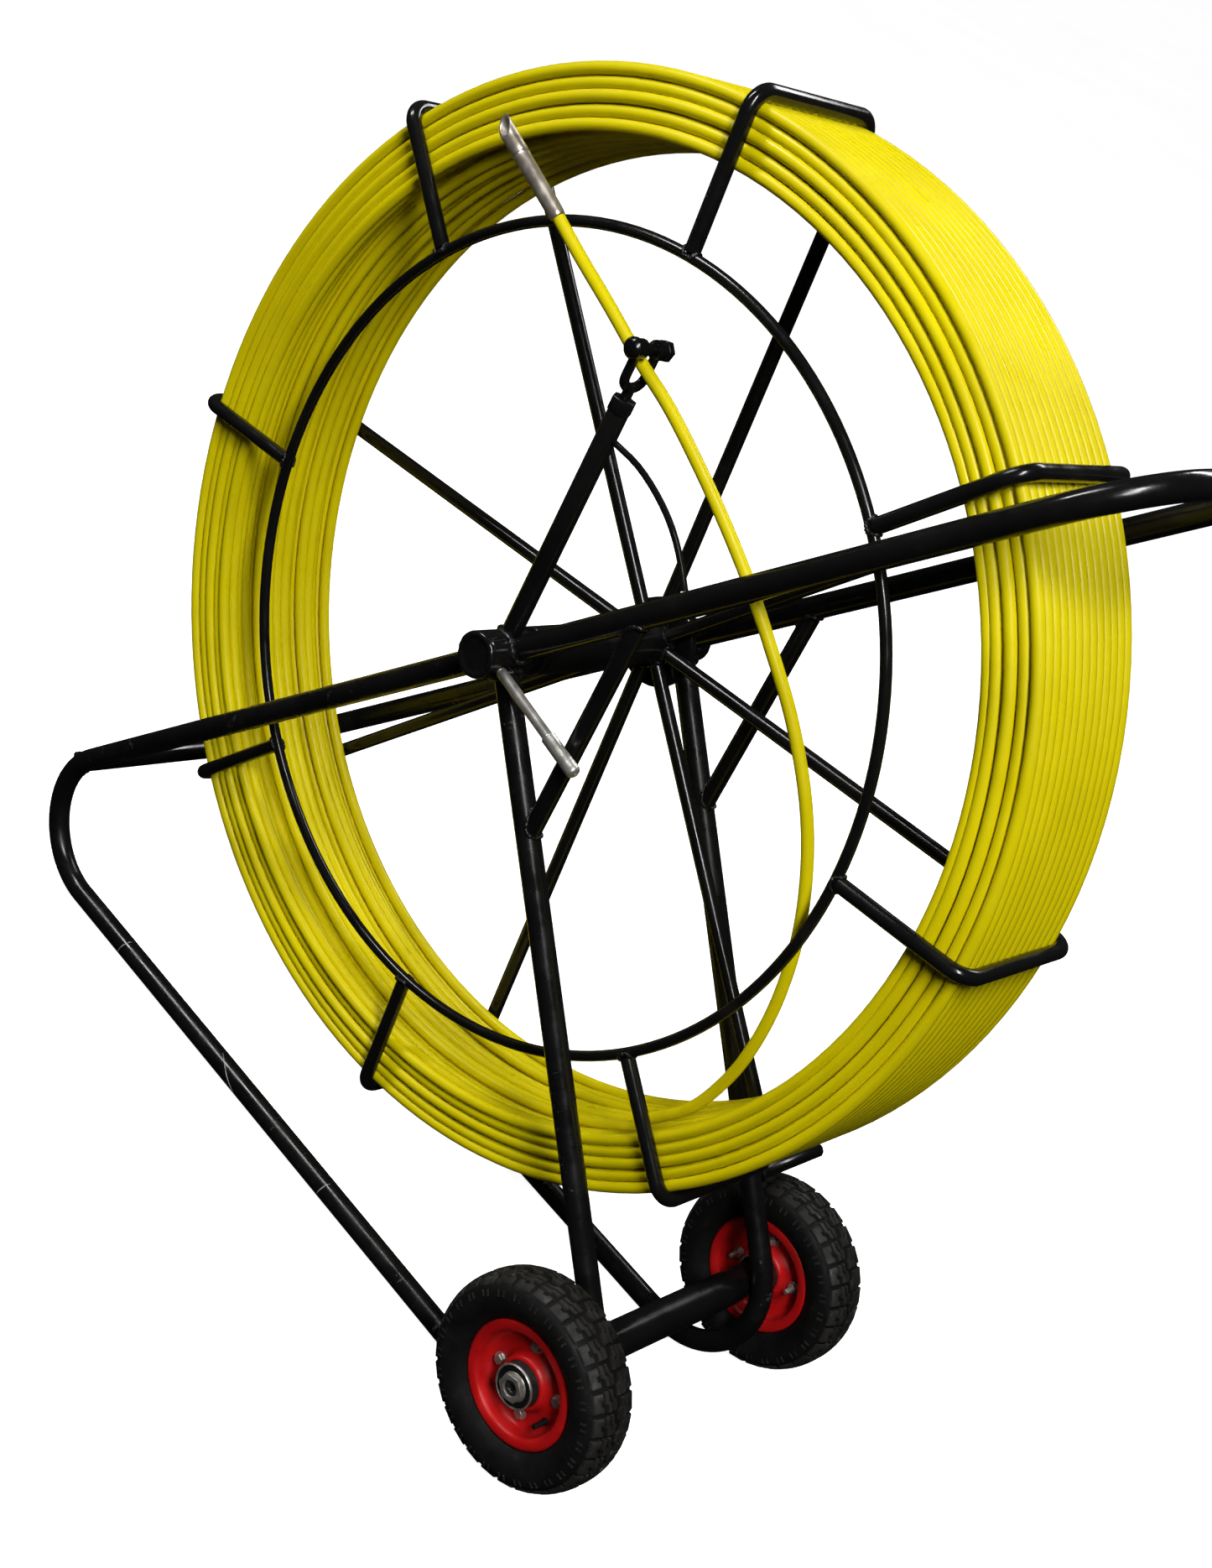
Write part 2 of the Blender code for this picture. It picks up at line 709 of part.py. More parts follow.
BLACK = material("black_paint", (0.012, 0.012, 0.013), 0.18)
RED = material("red_rim_paint", (0.55, 0.02, 0.02), 0.35)
YELLOW = material("yellow_rod_jacket", (0.85, 0.75, 0.02), 0.38)
STEEL = material("plated_steel", (0.62, 0.60, 0.55), 0.30, 1.0)
RUBBER = material("tyre_rubber", (0.022, 0.022, 0.022), 0.75)
DARK = material("hub_steel", (0.06, 0.06, 0.06), 0.45, 0.6)

CART = bpy.data.objects.new("cart_frame", None)
PARTS.objects.link(CART)
CART.rotation_euler = (0, -PARK_LEAN, 0)
REEL = empty("reel_axis", CART)
NEAR_WHEEL = empty("near_wheel_axis", CART, (AXLE_X, -WHEEL_Y, AXLE_Z))
FAR_WHEEL = empty("far_wheel_axis", CART, (AXLE_X, WHEEL_Y, AXLE_Z))
LOCK = empty("lock_axis", CART, (0, LOCK_Y, 0))
FORK = empty("fork_axis", CART, along_arm(ARM_END, FORK_Y))

near_boss_cutter = cutter(cylinder("near_boss_cutter", (0, -0.20, 0), (0, -0.09, 0), BOSS_R + GAP, 48))
far_boss_cutter = cutter(cylinder("far_boss_cutter", (0, 0.09, 0), (0, 0.20, 0), BOSS_R + GAP, 48))
side_tube("near_side_tube", -RAIL_Y, near_boss_cutter)
side_tube("far_side_tube", RAIL_Y, far_boss_cutter)
handle_bow(near_boss_cutter, far_boss_cutter)
toe_crossbar()
brace("near_brace", -RAIL_Y)
brace("far_brace", RAIL_Y)
axle_beam()
foot_peg()

hub_bosses()
reel_core()
for index in range(BRACKETS):
    reel_bracket(index)
front_ring()
rod_coil()
rod_tail()
rod_tip()

guide_arm(near_boss_cutter)
arm_stay()
guide_fork()
fork_bolt()
lock_lever()

wheel("near", -1, NEAR_WHEEL)
wheel("far", 1, FAR_WHEEL)
axle_rod()
axle_fittings("near", -1)
axle_fittings("far", 1)
stand_on_floor()
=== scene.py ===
"""Looks of the duct rodding machine: wound rod, tubes with weld beads, treaded tyres, finishes."""

import json
import math
import random

import bpy
from mathutils import Matrix, Vector


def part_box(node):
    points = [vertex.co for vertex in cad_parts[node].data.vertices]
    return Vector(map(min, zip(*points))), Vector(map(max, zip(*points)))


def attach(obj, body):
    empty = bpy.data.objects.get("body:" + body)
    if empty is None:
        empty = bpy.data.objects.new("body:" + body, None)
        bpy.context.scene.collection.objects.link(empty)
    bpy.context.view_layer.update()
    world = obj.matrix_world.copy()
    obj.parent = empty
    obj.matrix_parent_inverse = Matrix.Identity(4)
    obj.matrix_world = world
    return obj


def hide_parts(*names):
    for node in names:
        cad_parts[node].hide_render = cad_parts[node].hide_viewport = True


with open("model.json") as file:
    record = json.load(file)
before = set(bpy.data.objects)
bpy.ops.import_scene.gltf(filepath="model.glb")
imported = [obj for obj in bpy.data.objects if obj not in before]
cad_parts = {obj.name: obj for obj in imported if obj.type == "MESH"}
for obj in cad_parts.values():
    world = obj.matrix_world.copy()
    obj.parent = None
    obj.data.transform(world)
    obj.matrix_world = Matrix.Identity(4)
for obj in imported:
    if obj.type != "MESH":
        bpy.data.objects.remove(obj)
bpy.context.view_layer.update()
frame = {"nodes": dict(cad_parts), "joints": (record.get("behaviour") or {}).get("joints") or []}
NODES = frame["nodes"]
JOINTS = {joint["name"]: joint for joint in frame["joints"]}

# The cart's own frame: origin on the reel's axle at mid width, +X along the top rails to the
# handle, +Y to the far side, +Z away from the wheels. It leans back by PARK_LEAN about Y, so that
# the cart stands on its wheels and base tubes.
PARK_LEAN = math.radians(46.0)
HUB = Vector(JOINTS["reel_spin"]["pos_m"])
CART = Matrix.Translation(HUB) @ Matrix.Rotation(-PARK_LEAN, 4, "Y")

# Sizes in metres, the same as the solids'
SIDES = (("near", -1), ("far", 1))
RAIL_Y, TUBE_R, TUBE_BEND_R = 0.134, 0.012, 0.088
LEG_LEAN_X = -0.0334
AXLE_X, AXLE_Z = -0.0694, -0.6759
BASE_DISTANCE = 0.6276
TOE_X = -BASE_DISTANCE / math.sin(PARK_LEAN)
HANDLE_X, CROSSBAR_X = 0.660, -0.690
BEAM_R, BEAM_END_Y = 0.019, 0.150
BRACE_R, BRACE_ALONG_RAIL, BRACE_DOWN_LEG = 0.0092, 0.172, 0.174
BOSS_R = 0.0225
SLEEVE_R = 0.0235
BOSS_FACES, CAP_THICK = (-0.168, 0.152), 0.006
BRACKET_R, BRACKET_BEND_R = 0.0075, 0.020
RING_R, RING_WIRE_R = 0.390, 0.0054
NEAR_PLANE, FAR_PLANE = -0.0907, 0.0850
REEL_TURN, BRACKETS = 0.0748, 8
ROD_R = 0.0059
COIL_OUTER_R, COIL_INNER_R = 0.5275, 0.468
COIL_ENDS = (-0.0825, 0.0770)
BAR_RADIUS = COIL_OUTER_R + BRACKET_R + 0.0005
ARM_ANGLE, ARM_R, ARM_Y = math.radians(43.8), 0.010, -0.137
PEG_R = 0.0085
LOCK_ANGLE, LOCK_Y = math.radians(-57.1), -0.155
LOCK_R, LOCK_THREAD_R = 0.0053, 0.0045
LOCK_GRIP_R, LOCK_GRIP = 0.0072, (0.102, 0.150)
WHEEL_Y, TYRE_R, TYRE_HALF_WIDTH = 0.190, 0.107, 0.0315
HUB_R, HUB_HALF, HUB_RIM_HALF = 0.0226, 0.0235, 0.0260
AXLE_R, AXLE_END_Y = 0.008, 0.2185
BOLT_CIRCLE_R, RIM_BOLTS, BOLT_TURN = 0.038, 4, math.radians(60.0)
SHAFT_TOUCH = 0.0107
GAP = 0.0003

# The photograph's view, in the cart's own frame
CAMERA_AT = Vector((1.2978, -1.5331, -0.1739))
CAMERA_FORWARD = Vector((-0.67037, 0.74167, -0.02288))
CAMERA_UP = Vector((0.10958, 0.12944, 0.98551))
CAMERA_LENS, CAMERA_SHIFT, CAMERA_CLIP = 60.70, (0.0307, 0.0780), 200

# The rod's free end, from the coil's inside up behind the near rail and through the fork
ROD_ROUTE = [
    (0.000, -0.050, -0.4610),
    (0.060, -0.0520, -0.4520),
    (0.109, -0.0550, -0.4290),
    (0.152, -0.0590, -0.3980),
    (0.194, -0.0630, -0.3540),
    (0.231, -0.0680, -0.2990),
    (0.257, -0.0740, -0.2400),
    (0.273, -0.0820, -0.1800),
    (0.279, -0.0910, -0.1130),
    (0.277, -0.1010, -0.0500),
    (0.271, -0.1090, 0.0100),
    (0.257, -0.1190, 0.0850),
    (0.238, -0.1300, 0.1600),
    (0.2188, -0.1370, 0.2101),
    (0.203, -0.1460, 0.2610),
    (0.186, -0.1540, 0.3100),
    (0.174, -0.1600, 0.3480),
]
ROD_END_DIRECTION = Vector((-0.34, -0.125, 0.93)).normalized()
MOUTH_FACES = Vector((0.05, -0.98, -0.10))


# ---------------------------------------------------------------- geometry helpers


def polar(radius, angle, y):
    """A point in the cart's frame at an angle from +X in the reel's plane."""
    return Vector((radius * math.cos(angle), y, radius * math.sin(angle)))


def facing(direction):
    """The rotation that turns +Z to the given direction."""
    return Vector(direction).to_track_quat("Z", "Y").to_matrix().to_4x4()


def rounded_path(corners, radius, steps=20):
    """The corners joined by straight runs, each inner corner turned into an arc."""
    corners = [Vector(c) for c in corners]
    path = [corners[0]]
    for before, corner, after in zip(corners, corners[1:], corners[2:]):
        back, on = (before - corner).normalized(), (after - corner).normalized()
        half = back.angle(on) / 2
        centre = corner + (back + on).normalized() * radius / math.sin(half)
        first = corner + back * radius / math.tan(half) - centre
        axis = on.cross(back)
        sweep = math.pi - 2 * half
        turns = [Matrix.Rotation(sweep * k / steps, 3, axis) for k in range(steps + 1)]
        path += [centre + turn @ first for turn in turns]
    return path + [corners[-1]]


def smooth_path(points, spacing):
    """Evenly spaced points on a Catmull-Rom curve through the given ones."""
    points = [Vector(p) for p in points]
    points = [2 * points[0] - points[1], *points, 2 * points[-1] - points[-2]]
    fine = []
    for a, b, c, d in zip(points, points[1:], points[2:], points[3:]):
        for k in range(20):
            t = k / 20
            square = (2 * a - 5 * b + 4 * c - d) * t**2
            cube = (3 * b - a - 3 * c + d) * t**3
            fine.append(0.5 * (2 * b + (c - a) * t + square + cube))
    fine.append(points[-2])
    length = sum((q - p).length for p, q in zip(fine, fine[1:]))
    count = round(length / spacing)
    path, gone = [fine[0]], 0.0
    for p, q in zip(fine, fine[1:]):
        step = (q - p).length
        while len(path) < count and gone + step >= length * len(path) / count:
            path.append(p.lerp(q, (length * len(path) / count - gone) / step))
        gone += step
    return path + [fine[-1]]


class Build:
    """Vertices and faces of one piece, gathered in the cart's frame."""

    def __init__(self):
        self.verts = []
        self.faces = []

    def add(self, verts, faces):
        start = len(self.verts)
        self.verts += [tuple(v) for v in verts]
        self.faces += [tuple(start + i for i in face) for face in faces]

    def tube(self, path, radius, sides=20, closed=False):
        """A round bar along a path; radius is one number or a function of the point's index."""
        points = [Vector(p) for p in path]
        count = len(points)
        tangents = []
        for i in range(count):
            low = points[i - 1] if closed or i > 0 else points[0]
            high = points[(i + 1) % count] if closed or i < count - 1 else points[-1]
            tangents.append((high - low).normalized())
        normal = tangents[0].orthogonal().normalized()
        rings = []
        for i, (point, tangent) in enumerate(zip(points, tangents)):
            if i:
                normal = tangents[i - 1].rotation_difference(tangent) @ normal
                normal = (normal - tangent * normal.dot(tangent)).normalized()
            side = tangent.cross(normal)
            size = radius(i) if callable(radius) else radius
            for k in range(sides):
                turn = 2 * math.pi * k / sides
                rings.append(point + (normal * math.cos(turn) + side * math.sin(turn)) * size)
        twist = 0
        if closed:
            last = rings[-sides]
            twist = min(range(sides), key=lambda k: (rings[k] - last).length)
        faces = []
        for i in range(count if closed else count - 1):
            j = (i + 1) % count
            shift = twist if closed and j == 0 else 0
            for k in range(sides):
                a, b = i * sides + k, i * sides + (k + 1) % sides
                c, d = j * sides + (k + 1 + shift) % sides, j * sides + (k + shift) % sides
                faces.append((a, b, c, d))
        if not closed:
            faces.append(tuple(reversed(range(sides))))
            faces.append(tuple(range((count - 1) * sides, count * sides)))
        self.add(rings, faces)

    def turned(self, profile, direction, centre, steps, closed=False, shape=None):
        """A solid of revolution: profile points are (radius, height) along direction from centre.
        shape(radius, height, angle) may move a point and returns its new radius and height."""
        turn = Matrix.Translation(centre) @ facing(direction)
        verts, faces, rows = [], [], []
        for radius, height in profile:
            if radius < 1e-7:
                rows.append([len(verts)])
                verts.append(turn @ Vector((0, 0, height)))
                continue
            row = []
            for k in range(steps):
                angle = 2 * math.pi * k / steps
                r, h = shape(radius, height, angle) if shape else (radius, height)
                row.append(len(verts))
                verts.append(turn @ Vector((r * math.cos(angle), r * math.sin(angle), h)))
            rows.append(row)
        pairs = list(zip(rows, rows[1:] + rows[:1])) if closed else list(zip(rows, rows[1:]))
        for high, low in pairs:
            for k in range(steps):
                n = (k + 1) % steps
                if len(high) == 1 and len(low) == 1:
                    continue
                if len(high) == 1:
                    faces.append((high[0], low[k], low[n]))
                elif len(low) == 1:
                    faces.append((high[k], low[0], high[n]))
                else:
                    faces.append((high[k], low[k], low[n], high[n]))
        self.add(verts, faces)

    def bead(self, origin, axis, target_r, direction, tube_r, size, ripples=26):
        """A weld bead where a tube's end meets a round bar: origin is on both axes."""
        axis, direction = Vector(axis).normalized(), Vector(direction).normalized()
        first = direction.orthogonal().normalized()
        second = direction.cross(first)
        across_d = direction - axis * direction.dot(axis)
        path = []
        count = 3 * ripples
        for k in range(count):
            turn = 2 * math.pi * k / count
            out = (first * math.cos(turn) + second * math.sin(turn)) * (tube_r + size * 0.25)
            across_o = out - axis * out.dot(axis)
            a, b = across_d.length_squared, 2 * across_d.dot(across_o)
            c = across_o.length_squared - (target_r + size * 0.15) ** 2
            root = max(b * b - 4 * a * c, 0.0)
            path.append(Vector(origin) + direction * ((-b + math.sqrt(root)) / (2 * a)) + out)

        def lumps(i):
            turn = 2 * math.pi * i / count
            slow = 0.20 * math.sin(3 * turn + 40 * tube_r) + 0.16 * math.sin(7 * turn + 1.3)
            return size * (1 + slow + 0.20 * math.sin(i * 2 * math.pi / 3 + 0.6))

        self.tube(path, lumps, 8, True)

    def finish(self, name, finish, body, smooth=34, replaced=(), slot=None):
        mesh = bpy.data.meshes.new(name)
        mesh.from_pydata([tuple(CART @ Vector(v)) for v in self.verts], [], self.faces)
        mesh.update()
        obj = bpy.data.objects.new(name, mesh)
        bpy.context.scene.collection.objects.link(obj)
        mesh.materials.append(finish)
        mesh.shade_smooth()
        mesh.set_sharp_from_angle(angle=math.radians(smooth))
        if replaced:
            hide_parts(*replaced)
        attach(obj, body)
        return obj


# ---------------------------------------------------------------- finishes


class Finish:
    """A procedural material: a few helpers for wiring nodes."""

    def __init__(self, name, roughness, metallic=0.0, specular=0.5, coat=0.0):
        self.material = bpy.data.materials.new(name)
        self.material.use_nodes = True
        self.nodes = self.material.node_tree.nodes
        self.links = self.material.node_tree.links
        self.shader = self.nodes["Principled BSDF"]
        self.shader.inputs["Roughness"].default_value = roughness
        self.shader.inputs["Metallic"].default_value = metallic
        self.shader.inputs["Specular IOR Level"].default_value = specular
        self.shader.inputs["Coat Weight"].default_value = coat
        self.shader.inputs["Coat Roughness"].default_value = 0.08
        self.place = self.nodes.new("ShaderNodeTexCoord").outputs["Object"]

    def noise(self, scale, detail=4.0, roughness=0.55, stretch=None):
        source = self.place
        if stretch:
            mapping = self.nodes.new("ShaderNodeMapping")
            mapping.inputs["Scale"].default_value = stretch
            self.links.new(source, mapping.inputs["Vector"])
            source = mapping.outputs["Vector"]
        node = self.nodes.new("ShaderNodeTexNoise")
        node.inputs["Scale"].default_value = scale
        node.inputs["Detail"].default_value = detail
        node.inputs["Roughness"].default_value = roughness
        self.links.new(source, node.inputs["Vector"])
        return node.outputs["Fac"]

    def ramp(self, fac, stops):
        node = self.nodes.new("ShaderNodeValToRGB")
        elements = node.color_ramp.elements
        while len(elements) < len(stops):
            elements.new(0.5)
        for element, (position, colour) in zip(elements, stops):
            element.position = position
            element.color = (*colour, 1.0) if len(colour) == 3 else colour
        self.links.new(fac, node.inputs["Fac"])
        return node.outputs["Color"]

    def grey(self, fac, low, high, start=0.35, end=0.65):
        node = self.nodes.new("ShaderNodeMapRange")
        node.inputs["From Min"].default_value = start
        node.inputs["From Max"].default_value = end
        node.inputs["To Min"].default_value = low
        node.inputs["To Max"].default_value = high
        self.links.new(fac, node.inputs["Value"])
        return node.outputs["Result"]

    def mix(self, fac, a, b):
        node = self.nodes.new("ShaderNodeMix")
        node.data_type = "RGBA"
        self.links.new(fac, node.inputs["Factor"])
        for socket, value in ((node.inputs["A"], a), (node.inputs["B"], b)):
            if isinstance(value, tuple):
                socket.default_value = (*value, 1.0)
            else:
                self.links.new(value, socket)
        return node.outputs["Result"]

    def colour(self, output):
        self.links.new(output, self.shader.inputs["Base Color"])

    def gloss(self, output):
        self.links.new(output, self.shader.inputs["Roughness"])

    def bump(self, height, strength, distance=0.001):
        node = self.nodes.new("ShaderNodeBump")
        node.inputs["Strength"].default_value = strength
        node.inputs["Distance"].default_value = distance
        self.links.new(height, node.inputs["Height"])
        self.links.new(node.outputs["Normal"], self.shader.inputs["Normal"])


# How brightly the floor and walls give off light
FLOOR_GLOW = 1.05
ENAMEL = [
    (0.30, (0.0030, 0.0030, 0.0032)),
    (0.62, (0.0055, 0.0054, 0.0053)),
    (0.82, (0.016, 0.015, 0.014)),
]


def black_paint():
    """Glossy black stove enamel with a faint orange peel and a little dust."""
    f = Finish("black_paint", 0.16, specular=0.36)
    f.colour(f.ramp(f.noise(14, 6, 0.6), ENAMEL))
    f.gloss(f.grey(f.noise(38, 5, 0.6), 0.12, 0.27))
    f.bump(f.noise(420, 2), 0.10, 0.0004)
    return f.material


def scuffed_paint():
    """The same enamel where the cart is dragged and leant: fine pale rubs across the tube."""
    f = Finish("scuffed_paint", 0.2, specular=0.36)
    paint = f.ramp(f.noise(14, 6, 0.6), ENAMEL)
    scratch = f.noise(3.2, 8, 0.72, (26, 3, 26))
    marks = f.ramp(scratch, [(0.62, (0, 0, 0)), (0.66, (1, 1, 1)), (0.69, (0, 0, 0))])
    where = f.grey(f.noise(5.5, 2, 0.4), 0.0, 0.7, 0.50, 0.66)
    both = f.nodes.new("ShaderNodeMath")
    both.operation = "MULTIPLY"
    f.links.new(marks, both.inputs[0])
    f.links.new(where, both.inputs[1])
    f.colour(f.mix(both.outputs["Value"], paint, (0.20, 0.20, 0.19)))
    f.gloss(f.grey(f.noise(30, 6, 0.65), 0.14, 0.38))
    f.bump(f.noise(420, 2), 0.10, 0.0004)
    return f.material


def weld_steel():
    """Enamel over weld beads."""
    f = Finish("painted_weld", 0.26, specular=0.30)
    tones = [(0.3, (0.0035, 0.0035, 0.0035)), (0.7, (0.011, 0.010, 0.010))]
    f.colour(f.ramp(f.noise(90, 5), tones))
    f.gloss(f.grey(f.noise(160, 3), 0.14, 0.38))
    f.bump(f.noise(600, 3), 0.45, 0.0008)
    return f.material


def bare_scratch():
    """Pale metal where the enamel is cut through."""
    f = Finish("bare_scratch", 0.5, specular=0.3)
    f.colour(f.ramp(f.noise(300, 5, 0.7), [(0.35, (0.12, 0.12, 0.12)), (0.6, (0.50, 0.50, 0.49))]))
    f.gloss(f.grey(f.noise(200, 3), 0.40, 0.65))
    return f.material


def rod_jacket():
    """Smooth bright yellow jacket, slightly rubbed and dusty."""
    f = Finish("yellow_jacket", 0.36, specular=0.20)
    tone = f.noise(7, 5, 0.6)
    low, middle, high = (0.60, 0.500, 0.0010), (0.69, 0.585, 0.0015), (0.75, 0.645, 0.003)
    base = f.ramp(tone, [(0.25, low), (0.55, middle), (0.85, high)])
    rub = f.ramp(f.noise(55, 8, 0.7), [(0.66, (0, 0, 0)), (0.78, (0.55, 0.55, 0.55))])
    f.colour(f.mix(rub, base, (0.40, 0.33, 0.02)))
    f.gloss(f.grey(f.noise(26, 6), 0.27, 0.46))
    f.bump(f.noise(300, 3), 0.06, 0.0004)
    return f.material


def red_enamel():
    """Red enamel on the rims, a little grimy."""
    f = Finish("red_enamel", 0.36, specular=0.34)
    tone = f.noise(22, 6, 0.6)
    low, middle, high = (0.38, 0.0035, 0.0045), (0.56, 0.007, 0.008), (0.64, 0.016, 0.014)
    base = f.ramp(tone, [(0.28, low), (0.6, middle), (0.85, high)])
    grime = f.ramp(f.noise(70, 7, 0.7), [(0.60, (0, 0, 0)), (0.76, (0.75, 0.75, 0.75))])
    f.colour(f.mix(grime, base, (0.06, 0.006, 0.006)))
    f.gloss(f.grey(f.noise(60, 5), 0.28, 0.52))
    f.bump(f.noise(340, 2), 0.12, 0.0004)
    return f.material


def tyre_rubber():
    """Dull black rubber with dust in its rougher patches."""
    f = Finish("tyre_rubber", 0.72, specular=0.14)
    low, middle, high = (0.0035, 0.0034, 0.0034), (0.0068, 0.0066, 0.0064), (0.026, 0.024, 0.020)
    f.colour(f.ramp(f.noise(40, 8, 0.68), [(0.32, low), (0.60, middle), (0.82, high)]))
    f.gloss(f.grey(f.noise(55, 5), 0.50, 0.80))
    f.bump(f.noise(500, 4), 0.25, 0.0005)
    return f.material


def steel(name, grain, tones, gloss, rough):
    """Bare or plated metal in three tones, dulled in patches."""
    f = Finish(name, sum(gloss) / 2, metallic=0.85)
    f.colour(f.ramp(f.noise(grain, 6, 0.6), list(zip((0.28, 0.55, 0.82), tones))))
    f.gloss(f.grey(f.noise(1.6 * grain, 5), *gloss))
    f.bump(f.noise(8 * grain, 2), rough, 0.0003)
    return f.material


def tread_rubber():
    """The tread's blocks, rubbed pale and dusty on top."""
    f = Finish("tread_rubber", 0.66, specular=0.30)
    low, middle, high = (0.0090, 0.0088, 0.0085), (0.021, 0.020, 0.018), (0.075, 0.068, 0.056)
    f.colour(f.ramp(f.noise(60, 8, 0.7), [(0.34, low), (0.58, middle), (0.80, high)]))
    f.gloss(f.grey(f.noise(70, 5), 0.42, 0.78))
    f.bump(f.noise(450, 4), 0.30, 0.0006)
    return f.material


def hub_metal():
    """Dark greasy steel of the wheel hubs."""
    f = Finish("hub_metal", 0.42, metallic=0.4, specular=0.3)
    f.colour(f.ramp(f.noise(60, 6), [(0.3, (0.010, 0.010, 0.011)), (0.75, (0.042, 0.040, 0.037))]))
    f.gloss(f.grey(f.noise(90, 5), 0.30, 0.55))
    f.bump(f.noise(500, 3), 0.15, 0.0004)
    return f.material


def floor_paint():
    """White studio paint for the floor and walls, bright in itself."""
    f = Finish("floor", 0.9, specular=0.05)
    tone = f.ramp(f.noise(1.3, 2, 0.4), [(0.2, (0.90, 0.90, 0.90)), (0.8, (0.92, 0.92, 0.92))])
    f.colour(tone)
    f.links.new(tone, f.shader.inputs["Emission Color"])
    f.shader.inputs["Emission Strength"].default_value = FLOOR_GLOW
    f.gloss(f.grey(f.noise(3, 2), 0.85, 0.95))
    return f.material


BLACK = black_paint()
SCUFFED = scuffed_paint()
WELD = weld_steel()
YELLOW = rod_jacket()
RED = red_enamel()
RUBBER = tyre_rubber()
TREAD = tread_rubber()
SCRATCH = bare_scratch()
PLATED_TONES = [(0.34, 0.31, 0.27), (0.60, 0.57, 0.52), (0.74, 0.72, 0.68)]
POLISHED_TONES = [(0.44, 0.42, 0.37), (0.64, 0.62, 0.57), (0.78, 0.76, 0.72)]
FERRULE_TONES = [(0.40, 0.33, 0.25), (0.66, 0.60, 0.52), (0.82, 0.78, 0.72)]
PLATED = steel("plated_steel", 80, PLATED_TONES, (0.28, 0.48), 0.12)
POLISHED = steel("polished_steel", 70, POLISHED_TONES, (0.30, 0.46), 0.10)
FERRULE = steel("ferrule_steel", 75, FERRULE_TONES, (0.28, 0.46), 0.12)
HUB_METAL = hub_metal()


# ---------------------------------------------------------------- camera and the rod's free end


def add_camera():
    data = bpy.data.cameras.new("camera")
    data.lens, data.sensor_width, data.sensor_fit = CAMERA_LENS, 36.0, "HORIZONTAL"
    data.shift_x, data.shift_y = CAMERA_SHIFT
    data.clip_end = CAMERA_CLIP
    camera = bpy.data.objects.new("camera", data)
    bpy.context.scene.collection.objects.link(camera)
    right = CAMERA_FORWARD.cross(CAMERA_UP).normalized()
    up = right.cross(CAMERA_FORWARD).normalized()
    turn = Matrix((right, up, -CAMERA_FORWARD.normalized())).transposed().to_4x4()
    camera.matrix_world = CART @ Matrix.Translation(CAMERA_AT) @ turn
    bpy.context.scene.camera = camera


def rod_tip(start):
    """The smooth pressed ferrule, and the socket with its slanted mouth for a pulling eye."""
    turn = facing(ROD_END_DIRECTION)
    ferrule = Build()
    profile = [
        (0, 0.0660),
        (0.0072, 0.0660),
        (0.0077, 0.0654),
        (0.0077, 0.0620),
        (0.0075, 0.0560),
        (0.0075, 0.0120),
        (0.0072, 0.0040),
        (0.0068, 0.0006),
        (0.0064, 0),
        (0, 0),
    ]
    ferrule.turned(profile, ROD_END_DIRECTION, start, 40)
    node = "rod_ferrule"
    sleeve = ferrule.finish("ferrule", FERRULE, "cart", 40, replaced=(node,), slot="fitting_steel")
    fitting = Build()
    base = start + ROD_END_DIRECTION * (0.066 + GAP)
    mouth = turn.to_3x3().transposed() @ MOUTH_FACES
    mouth_turn = math.atan2(mouth.y, mouth.x)

    def slanted(radius, height, angle):
        if height < 0.012:
            return radius, height
        cut = 0.025 * (1 + radius / 0.0078 * math.cos(angle - mouth_turn)) / 2
        return radius, 0.012 + (height - 0.012) * (1 - cut / 0.030)

    head = [
        (0, 0.0080),
        (0.0050, 0.0080),
        (0.0054, 0.0120),
        (0.0056, 0.0400),
        (0.0060, 0.0416),
        (0.0066, 0.0420),
        (0.0074, 0.0417),
        (0.0078, 0.0408),
        (0.0078, 0.0120),
        (0.0078, 0.0014),
        (0.0073, 0.0002),
        (0, 0.0002),
    ]
    fitting.turned(head, ROD_END_DIRECTION, base, 48, False, slanted)
    node = "rod_tip_fitting"
    cup = fitting.finish("tip_socket", FERRULE, "cart", 40, replaced=(node,), slot="fitting_steel")
    return [sleeve, cup]


def rod_free_end():
    path = smooth_path(ROD_ROUTE, 0.009)
    tail = Build()
    tail.tube(path, ROD_R, 20)
    rod = tail.finish("rod_free_end", YELLOW, "cart", replaced=("rod_tail",), slot="rod_jacket")
    rod_tip(path[-1] + ROD_END_DIRECTION * GAP)


# ---------------------------------------------------------------- wound rod

COIL_SEED = 7
LAYERS, TURNS = 5, 13
COIL_POINTS, COIL_SIDES = 144, 12
# How much narrower every second layer lies, and how much of that is on the near side
LAYER_SLACK, NEAR_SHARE = 0.0030, 0.7
# Turns left out of the innermost layer, which isn't full
INNER_GAPS = (2, 3, 8, 11)
# Turns drift along the axle and out of round by these, times a looseness that grows inward
DRIFT_Y, DRIFT_R, OUTER_LOOSE, LOOSER = 0.0017, 0.0021, 0.15, 0.28


def waves(draw, size, orders):
    """Random ripples round one turn: (order, height, phase)."""
    return [(k, draw.uniform(-1, 1) * size / k, draw.uniform(0, 6.28)) for k in orders]


